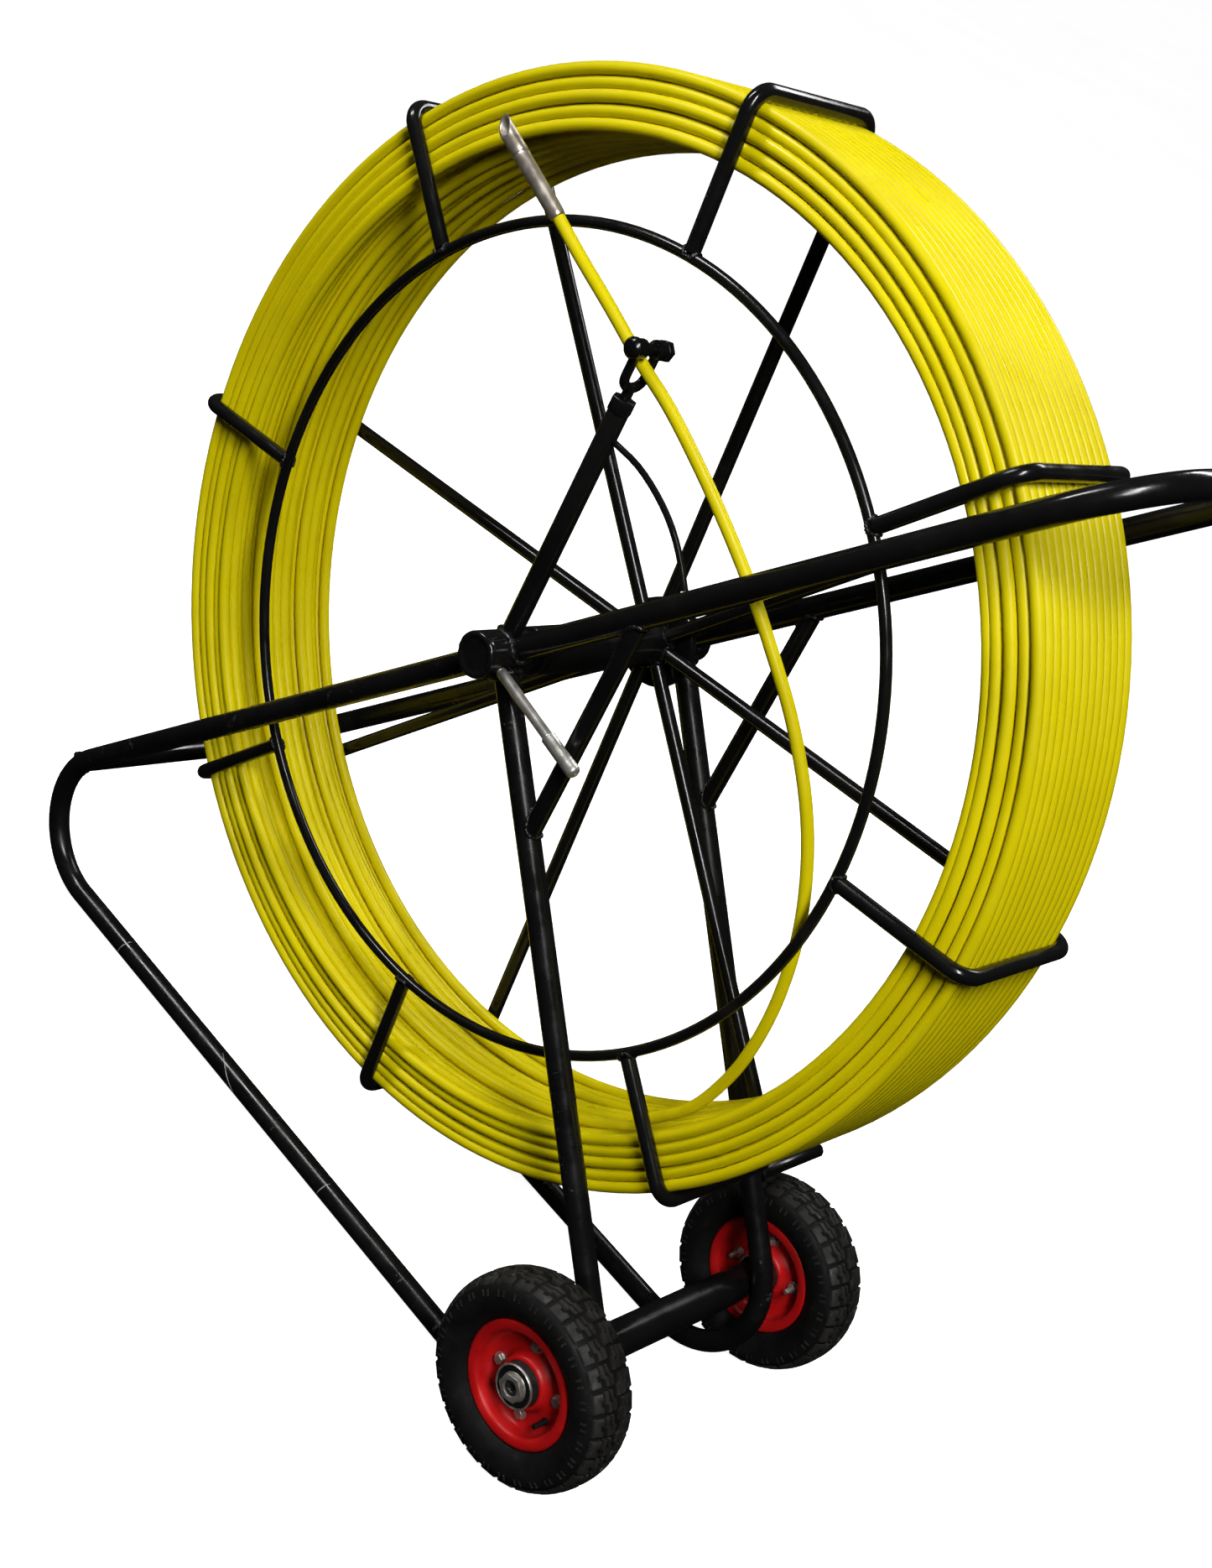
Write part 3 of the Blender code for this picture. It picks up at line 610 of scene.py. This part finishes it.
def wound_rod():
    """Single turns laid beside and on each other, each drifting a little out of round."""
    draw = random.Random(COIL_SEED)
    low, high = COIL_ENDS[0] + ROD_R, COIL_ENDS[1] - ROD_R
    pitch_out = (COIL_OUTER_R - COIL_INNER_R - 2 * ROD_R) / (LAYERS - 1)
    coil = Build()
    for layer in range(LAYERS):
        radius = COIL_OUTER_R - ROD_R - layer * pitch_out
        slack = 0 if layer % 2 == 0 else LAYER_SLACK
        spacing = (high - low - slack) / (TURNS - 1)
        first = low + NEAR_SHARE * slack
        for turn in range(TURNS):
            if layer == LAYERS - 1 and turn in INNER_GAPS:
                continue
            loose = OUTER_LOOSE + LOOSER * layer
            y_waves = waves(draw, DRIFT_Y * loose, (1, 2, 3, 5))
            r_waves = waves(draw, DRIFT_R * loose, (1, 2, 3, 4))
            at = first + turn * spacing
            path = []
            for s in range(COIL_POINTS):
                angle = 2 * math.pi * s / COIL_POINTS
                y = at + sum(a * math.sin(k * angle + p) for k, a, p in y_waves)
                r = radius + sum(a * math.sin(k * angle + p) for k, a, p in r_waves)
                r = min(max(r, COIL_INNER_R + ROD_R), COIL_OUTER_R - ROD_R)
                y = min(max(y, low), high)
                path.append(polar(r, angle, y))
            coil.tube(path, ROD_R, COIL_SIDES, True)
    coil.finish("wound_rod", YELLOW, "reel", 80, replaced=("rod_coil",), slot="rod_jacket")


# ---------------------------------------------------------------- cart frame

# Tubes end inside a boss's surface by this much
TUBE_SINK = 0.003
BOSS_BEAD, CROSSBAR_BEAD, THIN_BEAD = 0.0032, 0.0020, 0.0018
# Run along the toe bend that sets how far the crossbar's weld drops
TOE_WELD_RUN = 0.017
# Distance from the toe corner, drift along the tube, and the angles each scratch runs between
SCRATCHES = [
    (0.305, 0.006, -35, 95),
    (0.498, 0.046, 88, -25),
    (0.702, 0.004, -20, 85),
]


def leg_line(depth):
    """How far along X a leg's line has moved at this depth under the hub."""
    return LEG_LEAN_X * depth / -AXLE_Z


def heel_corner():
    """Where the leg's line meets the base tube's line, before the bend rounds it off."""
    leg = Vector((LEG_LEAN_X, AXLE_Z))
    outward = Vector((-math.sin(PARK_LEAN), -math.cos(PARK_LEAN)))
    return leg * BASE_DISTANCE / leg.dot(outward)


def brace_ends(y):
    """The points on the rail's line and the leg's line that a brace runs between."""
    foot = Vector((leg_line(BRACE_DOWN_LEG), y, -BRACE_DOWN_LEG))
    return Vector((BRACE_ALONG_RAIL, y, 0)), foot


def side_tube(side, y):
    heel = heel_corner()
    corners = [(0, y, 0), (heel.x, y, heel.y), (TOE_X, y, 0), (0, y, 0)]
    path = rounded_path(corners, TUBE_BEND_R, 28)
    hold = BOSS_R - TUBE_SINK
    path[0] = path[0] + (path[1] - path[0]).normalized() * hold
    path[-1] = path[-1] + (path[-2] - path[-1]).normalized() * hold
    tube = Build()
    tube.tube(path, TUBE_R, 28)
    node = f"{side}_side_tube"
    tube.finish(f"{side}_side_frame", SCUFFED, "cart", replaced=(node,), slot="black_paint")


def handle_bow():
    corners = [(0, -RAIL_Y, 0), (HANDLE_X, -RAIL_Y, 0), (HANDLE_X, RAIL_Y, 0), (0, RAIL_Y, 0)]
    path = rounded_path(corners, TUBE_BEND_R, 20)
    hold = Vector((BOSS_R - TUBE_SINK, 0, 0))
    path[0], path[-1] = path[0] + hold, path[-1] + hold
    tube = Build()
    tube.tube(path, TUBE_R, 28)
    tube.finish("push_bar", BLACK, "cart", replaced=("handle_bow",), slot="black_paint")


def straight_bars():
    bar = Build()
    bar.tube([(CROSSBAR_X, -RAIL_Y, 0), (CROSSBAR_X, RAIL_Y, 0)], TUBE_R, 28)
    bar.finish("toe_bar", BLACK, "cart", replaced=("toe_crossbar",), slot="black_paint")
    for side, out in SIDES:
        top, foot = brace_ends(out * RAIL_Y)
        along = (foot - top).normalized()
        brace = Build()
        brace.tube([top + along * 0.012, foot - along * 0.010], BRACE_R, 20)
        node = f"{side}_brace"
        brace.finish(f"{side}_frame_brace", BLACK, "cart", replaced=(node,), slot="black_paint")
    beam = Build()
    inner = 0.0083
    profile = [(inner, BEAM_END_Y), (BEAM_R - 0.001, BEAM_END_Y), (BEAM_R, BEAM_END_Y - 0.001)]
    profile += [(BEAM_R, -BEAM_END_Y + 0.001), (BEAM_R - 0.001, -BEAM_END_Y), (inner, -BEAM_END_Y)]
    beam.turned(profile, (0, 1, 0), (AXLE_X, 0, AXLE_Z), 40, True)
    beam.finish("axle_tube", BLACK, "cart", replaced=("axle_beam",), slot="black_paint")


def cart_welds():
    """Painted weld beads at every joint of the cart's frame."""
    welds = Build()
    leg = Vector((LEG_LEAN_X, 0, AXLE_Z)).normalized()
    hub_axis = Vector((0, 1, 0))
    for y in (-RAIL_Y, RAIL_Y):
        hub = Vector((0, y, 0))
        for direction in (Vector((1, 0, 0)), Vector((-1, 0, 0)), leg):
            welds.bead(hub, hub_axis, BOSS_R, direction, TUBE_R, BOSS_BEAD, 22)
        top, foot = brace_ends(y)
        welds.bead(top, (1, 0, 0), TUBE_R, foot - top, BRACE_R, THIN_BEAD, 20)
        welds.bead(foot, leg, TUBE_R, top - foot, BRACE_R, THIN_BEAD, 20)
        drop = TUBE_BEND_R - math.sqrt(TUBE_BEND_R**2 - TOE_WELD_RUN**2)
        inward = Vector((0, -y, 0)).normalized()
        corner = Vector((CROSSBAR_X, y, -drop))
        welds.bead(corner, (1, 0, 0.2), TUBE_R, inward, TUBE_R, CROSSBAR_BEAD)
    arm = polar(1, ARM_ANGLE, 0)
    welds.bead((0, ARM_Y, 0), hub_axis, BOSS_R, arm, ARM_R, BOSS_BEAD, 20)
    low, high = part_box("foot_peg")
    peg = CART.inverted() @ ((Vector(low) + Vector(high)) / 2)
    welds.bead((peg.x, RAIL_Y, peg.z), leg, TUBE_R, hub_axis, PEG_R, THIN_BEAD, 20)
    welds.finish("cart_welds", WELD, "cart", 60, slot="black_paint")


def boss_caps():
    """Welded discs on the outer ends of the bosses, each with a raised rounded rim."""
    section = [
        (0, 0.0040),
        (0.0145, 0.0040),
        (0.0158, 0.0044),
        (0.0172, 0.0055),
        (0.0190, CAP_THICK),
        (0.0208, 0.0056),
        (0.0222, 0.0042),
        (BOSS_R, 0.0026),
        (BOSS_R, 0),
        (0, 0),
    ]

    def uneven(radius, height, angle):
        if height < 0.0042 or radius < 0.015:
            return radius, height
        ripple = (1 + math.sin(17 * angle)) * (1 + math.sin(5 * angle + 1)) / 2
        return radius, height - 0.0004 * ripple

    for (side, out), face in zip(SIDES, BOSS_FACES):
        cap = Build()
        cap.turned(section, (0, out, 0), (0, face + out * GAP, 0), 72, False, uneven)
        node = f"{side}_boss_cap"
        cap.finish(f"{side}_cap", BLACK, "cart", 50, replaced=(node,), slot="black_paint")


def scratches():
    """Thin cuts through the paint across the near base tube."""
    heel = heel_corner()
    toe, foot = Vector((TOE_X, -RAIL_Y, 0)), Vector((heel.x, -RAIL_Y, heel.y))
    along = (foot - toe).normalized()
    side = Vector((0, -1, 0))
    up = along.cross(side)
    if up.z < 0:
        up = -up
    marks = Build()
    steps = 18
    for where, slant, start, end in SCRATCHES:
        path = []
        for k in range(steps + 1):
            turn = math.radians(start + (end - start) * k / steps)
            out = (side * math.cos(turn) + up * math.sin(turn)) * TUBE_R
            path.append(toe + along * (where + slant * k / steps) + out)
        marks.tube(path, lambda i: 0.0001 + 0.00045 * math.sin(math.pi * i / steps), 6)
    marks.finish("paint_scratches", SCRATCH, "cart", 60, slot="black_paint")


# ---------------------------------------------------------------- reel


def bracket_angle(number):
    """Where a basket bracket stands round the reel."""
    return math.pi / 2 + REEL_TURN + 2 * math.pi * number / BRACKETS


def reel_frame():
    for number in range(BRACKETS):
        angle = bracket_angle(number)
        corners = [
            polar(SLEEVE_R - 0.001, angle, FAR_PLANE),
            polar(BAR_RADIUS, angle, FAR_PLANE),
            polar(BAR_RADIUS, angle, NEAR_PLANE),
            polar(RING_R + RING_WIRE_R - 0.001, angle, NEAR_PLANE),
        ]
        bar = Build()
        bar.tube(rounded_path(corners, BRACKET_BEND_R, 12), BRACKET_R, 20)
        name = f"reel_bracket_{number + 1}"
        bar.finish(f"basket_bar_{number + 1}", BLACK, "reel", replaced=(name,), slot="black_paint")
    ring = Build()
    steps = 160
    circle = [polar(RING_R, 2 * math.pi * k / steps, NEAR_PLANE) for k in range(steps)]
    ring.tube(circle, RING_WIRE_R, 16, True)
    ring.finish("basket_ring", BLACK, "reel", replaced=("reel_front_ring",), slot="black_paint")
    welds = Build()
    for number in range(BRACKETS):
        angle = bracket_angle(number)
        outward = polar(1, angle, 0)
        around = Vector((-outward.z, 0, outward.x))
        on_ring = polar(RING_R, angle, NEAR_PLANE)
        welds.bead(on_ring, around, RING_WIRE_R, outward, BRACKET_R, THIN_BEAD, 18)
        on_hub = (0, FAR_PLANE, 0)
        welds.bead(on_hub, (0, 1, 0), SLEEVE_R, outward, BRACKET_R, THIN_BEAD, 18)
    welds.finish("basket_welds", WELD, "reel", 60, slot="black_paint")


# ---------------------------------------------------------------- wheels

TREAD_PITCHES = 28
TREAD_DEPTH = 0.0030
TREAD_HALF = 0.0275
# One pitch's blocks: each outline's corners as the fraction of the pitch, then the distance from
# the tyre's middle in millimetres
TREAD_BLOCKS = [
    [(0.05, 1.6), (0.46, 1.6), (0.56, 5.2), (0.93, 6.4)]
    + [(0.93, 9.6), (0.60, 9.0), (0.50, 6.6), (0.05, 6.4)],
    [(0.05, 8.0), (0.42, 8.2), (0.52, 11.0), (0.93, 11.4)]
    + [(0.93, 15.6), (0.44, 15.6), (0.36, 12.6), (0.05, 12.4)],
    [(0.08, 17.2), (0.30, 17.2), (0.34, 20.0), (0.58, 20.4)]
    + [(0.62, 17.2), (0.90, 17.2), (0.90, 26.8), (0.08, 26.8)],
]


def crown(height):
    """The casing's radius under the tread, this far from the tyre's middle."""
    return TYRE_R - TREAD_DEPTH - 0.0064 * (abs(height) / TREAD_HALF) ** 2.6


def tyre_outline():
    """Casing section, out over the tread and back inside."""
    half = TYRE_HALF_WIDTH
    skin = [
        (0.0545, 0.0188),
        (0.0640, 0.0188),
        (0.0645, 0.0206),
        (0.0660, 0.0226),
        (0.0674, 0.0236),
        (0.0688, 0.0254),
        (0.0730, half - 0.0031),
        (0.0790, half - 0.0008),
        (0.0860, half),
        (0.0915, half - 0.0006),
        (0.0950, half - 0.0018),
        (crown(TREAD_HALF), TREAD_HALF),
    ]
    skin += [(crown(TREAD_HALF * k / 8), TREAD_HALF * k / 8) for k in range(7, 0, -1)]
    inside = [(0.0545, 0.0120), (0.0640, 0.0130), (0.0860, half - 0.006), (0.0960, 0.0160)]
    inside += [(0.0985, 0.0060)]
    mirrored = [(r, -h) for r, h in reversed(skin)]
    mirrored_inside = [(r, -h) for r, h in inside]
    return skin + [(crown(0), 0)] + mirrored + mirrored_inside + list(reversed(inside))


def tread_block(tyre, centre, out, outline, start, side):
    """One raised block of the tread: its outline on the casing, lifted and drawn in a little."""
    pitch = 2 * math.pi / TREAD_PITCHES
    middle = [sum(p[i] for p in outline) / len(outline) for i in (0, 1)]
    verts = []
    for lift, draw_in in ((-0.0006, 1.0), (TREAD_DEPTH * 0.8, 0.96), (TREAD_DEPTH, 0.88)):
        for fraction, across in outline:
            u = middle[0] + (fraction - middle[0]) * draw_in
            h = side * (middle[1] + (across - middle[1]) * draw_in) / 1000
            turn = start + u * pitch
            verts.append(centre + polar(crown(h) + lift, turn, out * h))
    n = len(outline)
    rims = [(r * n + k, r * n + (k + 1) % n) for r in (0, 1) for k in range(n)]
    faces = [(a, b, b + n, a + n) for a, b in rims]
    faces += [tuple(reversed(range(n))), tuple(range(2 * n, 3 * n))]
    if side * out < 0:
        faces = [tuple(reversed(face)) for face in faces]
    tyre.add(verts, faces)


def shoulder_rib(tyre, centre, out, turn, side):
    """A short raised bar on the edge of the sidewall."""
    half_angle = 0.011
    verts = []
    for lift in (-0.0004, 0.0008):
        for radius, width in ((0.0885, 0.0314), (0.0945, 0.0300)):
            for step in (-1, 1):
                y = out * side * (width + lift)
                verts.append(centre + polar(radius, turn + step * half_angle, y))
    faces = [(0, 1, 3, 2), (4, 6, 7, 5), (0, 4, 5, 1), (1, 5, 7, 3), (3, 7, 6, 2), (2, 6, 4, 0)]
    if side * out > 0:
        faces = [tuple(reversed(face)) for face in faces]
    tyre.add(verts, faces)


def tyre(side, out, centre):
    casing, made = Build(), Build()
    casing.turned(tyre_outline(), (0, out, 0), centre, 112, True)
    pitch = 2 * math.pi / TREAD_PITCHES
    for number in range(TREAD_PITCHES):
        for edge in (1, -1):
            start = number * pitch + (0 if edge > 0 else pitch / 2)
            for outline in TREAD_BLOCKS:
                tread_block(made, centre, out, outline, start, edge)
            for place_in_pitch in (0.30, 0.62):
                shoulder_rib(made, centre, out, start + place_in_pitch * pitch, edge)
    node, body = f"{side}_tyre", f"{side}_wheel"
    casing.finish(f"{side}_tyre_casing", RUBBER, body, 42, replaced=(node,), slot="tyre_rubber")
    made.finish(f"{side}_tyre_tread", TREAD, body, 42, slot="tyre_rubber")


def rim_half(name, node, direction, centre, body):
    """A pressed half of the rim: hub seat, dished disc, wall and rolled lip."""
    face = [
        (HUB_R + GAP, 0.0150),
        (0.0250, 0.0150),
        (0.0263, 0.0142),
        (0.0276, 0.0110),
        (0.0296, 0.0056),
        (0.0318, 0.0033),
        (0.0345, 0.0027),
        (0.0430, 0.0027),
        (0.0464, 0.0035),
        (0.0489, 0.0058),
        (0.0505, 0.0090),
        (0.0512, 0.0125),
        (0.0517, 0.0168),
        (0.0528, 0.0200),
        (0.0548, 0.0215),
        (0.0610, 0.0220),
        (0.0630, 0.0215),
        (0.0636, 0.0205),
    ]
    back = [
        (0.0632, 0.0197),
        (0.0610, 0.0195),
        (0.0556, 0.0195),
        (0.0542, 0.0186),
        (0.0536, 0.0130),
        (0.0528, 0.0085),
        (0.0510, 0.0042),
        (0.0488, 0.0016),
        (0.0464, 0.0004),
        (0.0300, 0.0004),
        (0.0276, 0.0040),
        (0.0254, 0.0122),
        (HUB_R + GAP, 0.0125),
    ]
    rim = Build()
    rim.turned(face + back, direction, centre, 112, True)
    rim.finish(name, RED, body, 50, replaced=(node,), slot="rim_paint")


def rim_bolt(side, number, out, at):
    """Hexagon head with a washer outside, washer, nut and a threaded end inside."""
    bolt = Build()
    outward = (0, out, 0)
    sheet = 0.0030
    head = [(0, 0.0050), (0.0050, 0.0050), (0.0057, 0.0044), (0.0057, 0.0009), (0, 0.0009)]
    bolt.turned([(r, h + sheet) for r, h in head], outward, at, 6)
    for high, low in ((sheet + 0.0010, sheet), (-sheet, -sheet - 0.0010)):
        bolt.turned([(0, high), (0.0070, high), (0.0070, low), (0, low)], outward, at, 24)
    nut = [(0, 0.0048), (0.0057, 0.0048), (0.0057, 0.0007), (0.0051, 0), (0, 0)]
    bolt.turned([(r, h - sheet - 0.0057) for r, h in nut], outward, at, 6)
    shank = [(0, -sheet - 0.0050)]
    for ridge in range(8):
        top = -sheet - 0.0055 - ridge * 0.0013
        shank += [(0.0027, top), (0.0030, top - 0.00045), (0.0030, top - 0.00065)]
    shank += [(0.0023, -0.0192), (0, -0.0194)]
    bolt.turned(shank, outward, at, 20)
    name, node = f"{side}_hex_bolt_{number + 1}", f"{side}_rim_bolt_{number + 1}"
    bolt.finish(name, PLATED, f"{side}_wheel", 40, replaced=(node,), slot="plated_steel")


def hub_ends(side, out, centre):
    """Each end of the hub: a thin bright rim standing out past the bearing's dark seal."""
    rim = [
        (HUB_R, HUB_HALF + 0.0002),
        (HUB_R, HUB_RIM_HALF - 0.0006),
        (HUB_R - 0.0005, HUB_RIM_HALF),
        (HUB_R - 0.0013, HUB_RIM_HALF),
        (HUB_R - 0.0017, HUB_RIM_HALF - 0.0006),
        (HUB_R - 0.0017, HUB_HALF + 0.0002),
    ]
    seal = [
        (0.0158, HUB_HALF + 0.0002),
        (HUB_R - 0.0018, HUB_HALF + 0.0002),
        (HUB_R - 0.0020, HUB_HALF + 0.0009),
        (0.0188, HUB_HALF + 0.0009),
        (0.0185, HUB_HALF + 0.0006),
        (0.0160, HUB_HALF + 0.0006),
    ]
    rims, seals = Build(), Build()
    for end in (1, -1):
        rims.turned(list(reversed(rim)), (0, out * end, 0), centre, 64, True)
        seals.turned(seal, (0, out * end, 0), centre, 64, True)
    body = f"{side}_wheel"
    rims.finish(f"{side}_hub_rims", PLATED, body, 40, slot="hub_metal")
    seals.finish(f"{side}_bearing_seals", RUBBER, body, 40, slot="hub_metal")


def axle_bar():
    """The axle: its drilled, rusty-dark ends sit a little inside the nuts."""
    half = AXLE_END_Y
    profile = [
        (0, half - 0.0030),
        (0.0034, half - 0.0030),
        (0.0040, half - 0.0006),
        (0.0046, half),
        (AXLE_R - 0.0009, half),
        (AXLE_R - 0.0001, half - 0.0009),
    ]
    profile += [(r, -h) for r, h in reversed(profile)]
    bar = Build()
    bar.turned(profile, (0, 1, 0), (AXLE_X, 0, AXLE_Z), 40)
    bar.finish("axle_bar", HUB_METAL, "cart", 40, replaced=("axle_rod",), slot="plated_steel")


def wheels():
    for side, out in SIDES:
        centre = Vector((AXLE_X, out * WHEEL_Y, AXLE_Z))
        tyre(side, out, centre)
        for half, faces in (("outer", out), ("inner", -out)):
            name, node = f"{side}_pressed_rim_{half}", f"{side}_rim_{half}"
            rim_half(name, node, (0, faces, 0), centre, f"{side}_wheel")
        for number in range(RIM_BOLTS):
            turn = BOLT_TURN + 2 * math.pi * number / RIM_BOLTS
            rim_bolt(side, number, out, centre + polar(BOLT_CIRCLE_R, turn, 0))
        hub_ends(side, out, centre)
    axle_bar()


# ---------------------------------------------------------------- reel lock


def lock_lever():
    """A polished bar with a knurled grip, screwed into the near boss."""
    low, high = LOCK_GRIP
    shoulder = BOSS_R + 0.0015
    rows = 64
    grip = [(LOCK_GRIP_R, high - 0.005 - (high - low - 0.007) * k / rows) for k in range(rows + 1)]

    def knurl(radius, height, angle):
        if abs(radius - LOCK_GRIP_R) > 1e-6:
            return radius, height
        lean = height / LOCK_GRIP_R
        ridge = abs(math.sin(15 * (angle + lean))) * abs(math.sin(15 * (angle - lean)))
        return radius - 0.00042 * (1 - ridge), height

    lever = Build()
    profile = [(0, high), (0.0020, high - 0.0001), (0.0024, high - 0.0009), (0.0042, high - 0.0012)]
    profile += [(0.0060, high - 0.0024), (0.0070, high - 0.0044)]
    profile += grip
    profile += [(0.0066, low + 0.0012), (LOCK_R, low), (LOCK_R, shoulder)]
    profile += [(LOCK_THREAD_R, shoulder - 0.0006)]
    for thread in range(6):
        top = shoulder - 0.0008 - thread * 0.0015
        profile += [(LOCK_THREAD_R, top), (LOCK_THREAD_R - 0.0005, top - 0.0007)]
    profile += [(0.0036, SHAFT_TOUCH), (0, SHAFT_TOUCH)]
    lever.turned(profile, polar(1, LOCK_ANGLE, 0), (0, LOCK_Y, 0), 96, False, knurl)
    node = "lock_lever"
    lever.finish("knurled_lever", POLISHED, "lock", 60, replaced=(node,), slot="lever_steel")


# ---------------------------------------------------------------- cad nodes kept as they are


def soften(node, width, finish):
    """A CAD node that keeps its shape, with its edges eased and its own finish."""
    obj = NODES[node]
    obj.data.materials.clear()
    obj.data.materials.append(finish)
    weld = obj.modifiers.new("weld", "WELD")
    weld.merge_threshold = 0.00002
    bevel = obj.modifiers.new("ease", "BEVEL")
    bevel.width = width
    bevel.segments = 2
    bevel.limit_method = "ANGLE"
    bevel.angle_limit = math.radians(40)
    bevel.harden_normals = False
    obj.data.shade_smooth()


def kept_nodes():
    for name in ("near_hub_boss", "far_hub_boss", "reel_flange", "reel_hub_sleeve"):
        soften(name, 0.0009, BLACK)
    for name in ("guide_arm", "arm_nut", "guide_fork", "fork_bolt", "fork_nut", "foot_peg"):
        soften(name, 0.0006, BLACK)
    soften("arm_stay_wire", 0.0002, BLACK)
    soften("reel_shaft", 0.0008, PLATED)
    for side, _ in SIDES:
        for name in ("axle_collar", "axle_washer", "axle_nut"):
            soften(f"{side}_{name}", 0.0005, PLATED)
        soften(f"{side}_valve_stem", 0.0003, RUBBER)
        soften(f"{side}_wheel_hub", 0.0008, HUB_METAL)


# ---------------------------------------------------------------- stage

STAGE_HALF, WALL_HEIGHT = 30.0, 40
# The world is brighter from above: strengths at the lower and upper of these heights
WORLD_HEIGHTS, WORLD_STRENGTHS = (-0.35, 0.55), (0.17, 0.72)
LAMP_DISTANCE = 3.4
# Name, direction from the hub, width and height, watts
LAMPS = [
    ("key", (0.75, -0.80, 1.10), (0.45, 1.6), 104),
    ("left", (-0.8, -0.55, 1.0), (0.35, 1.4), 58),
    ("back", (-0.1, 1.0, 1.1), (1.4, 0.5), 40),
]


def stage_piece(name, corners, faces, paint):
    """A floor or walls that throw no light on the cart and don't show in its reflections."""
    mesh = bpy.data.meshes.new(name)
    mesh.from_pydata(corners, [], faces)
    mesh.materials.append(paint)
    piece = bpy.data.objects.new(name, mesh)
    bpy.context.scene.collection.objects.link(piece)
    piece.visible_diffuse = piece.visible_glossy = False
    return piece


def add_stage():
    """The floor, the walls around it, and a world that is brighter from above."""
    paint = floor_paint()
    size = STAGE_HALF
    ring = [(-size, -size), (size, -size), (size, size), (-size, size)]
    stage_piece("floor", [(x, y, 0) for x, y in ring], [(0, 1, 2, 3)], paint)
    walls = [(x, y, z) for z in (0, WALL_HEIGHT) for x, y in ring]
    sides = [(i, (i + 1) % 4, (i + 1) % 4 + 4, i + 4) for i in range(4)]
    stage_piece("walls", walls, sides, paint).visible_shadow = False
    world = bpy.data.worlds.new("studio")
    bpy.context.scene.world = world
    world.use_nodes = True
    background = world.node_tree.nodes["Background"]
    links, nodes = world.node_tree.links, world.node_tree.nodes
    split = nodes.new("ShaderNodeSeparateXYZ")
    links.new(nodes.new("ShaderNodeTexCoord").outputs["Generated"], split.inputs["Vector"])
    height = nodes.new("ShaderNodeMapRange")
    height.inputs["From Min"].default_value = WORLD_HEIGHTS[0]
    height.inputs["From Max"].default_value = WORLD_HEIGHTS[1]
    height.inputs["To Min"].default_value = WORLD_STRENGTHS[0]
    height.inputs["To Max"].default_value = WORLD_STRENGTHS[1]
    links.new(split.outputs["Z"], height.inputs["Value"])
    links.new(height.outputs["Result"], background.inputs["Strength"])


def add_lamp(name, direction, size, power):
    """A soft oblong lamp that looks at the hub from a direction in world axes."""
    data = bpy.data.lights.new(name, "AREA")
    data.shape = "RECTANGLE"
    data.size, data.size_y = size
    data.energy = power
    lamp = bpy.data.objects.new(name, data)
    bpy.context.scene.collection.objects.link(lamp)
    place = HUB + Vector(direction).normalized() * LAMP_DISTANCE
    lamp.matrix_world = Matrix.Translation(place) @ facing(place - HUB)


add_camera()
rod_free_end()
wound_rod()
for side_name, side_out in SIDES:
    side_tube(side_name, side_out * RAIL_Y)
handle_bow()
straight_bars()
cart_welds()
boss_caps()
scratches()
reel_frame()
wheels()
lock_lever()
kept_nodes()
add_stage()
for lamp_row in LAMPS:
    add_lamp(*lamp_row)
bpy.context.scene.view_settings.view_transform = "Standard"
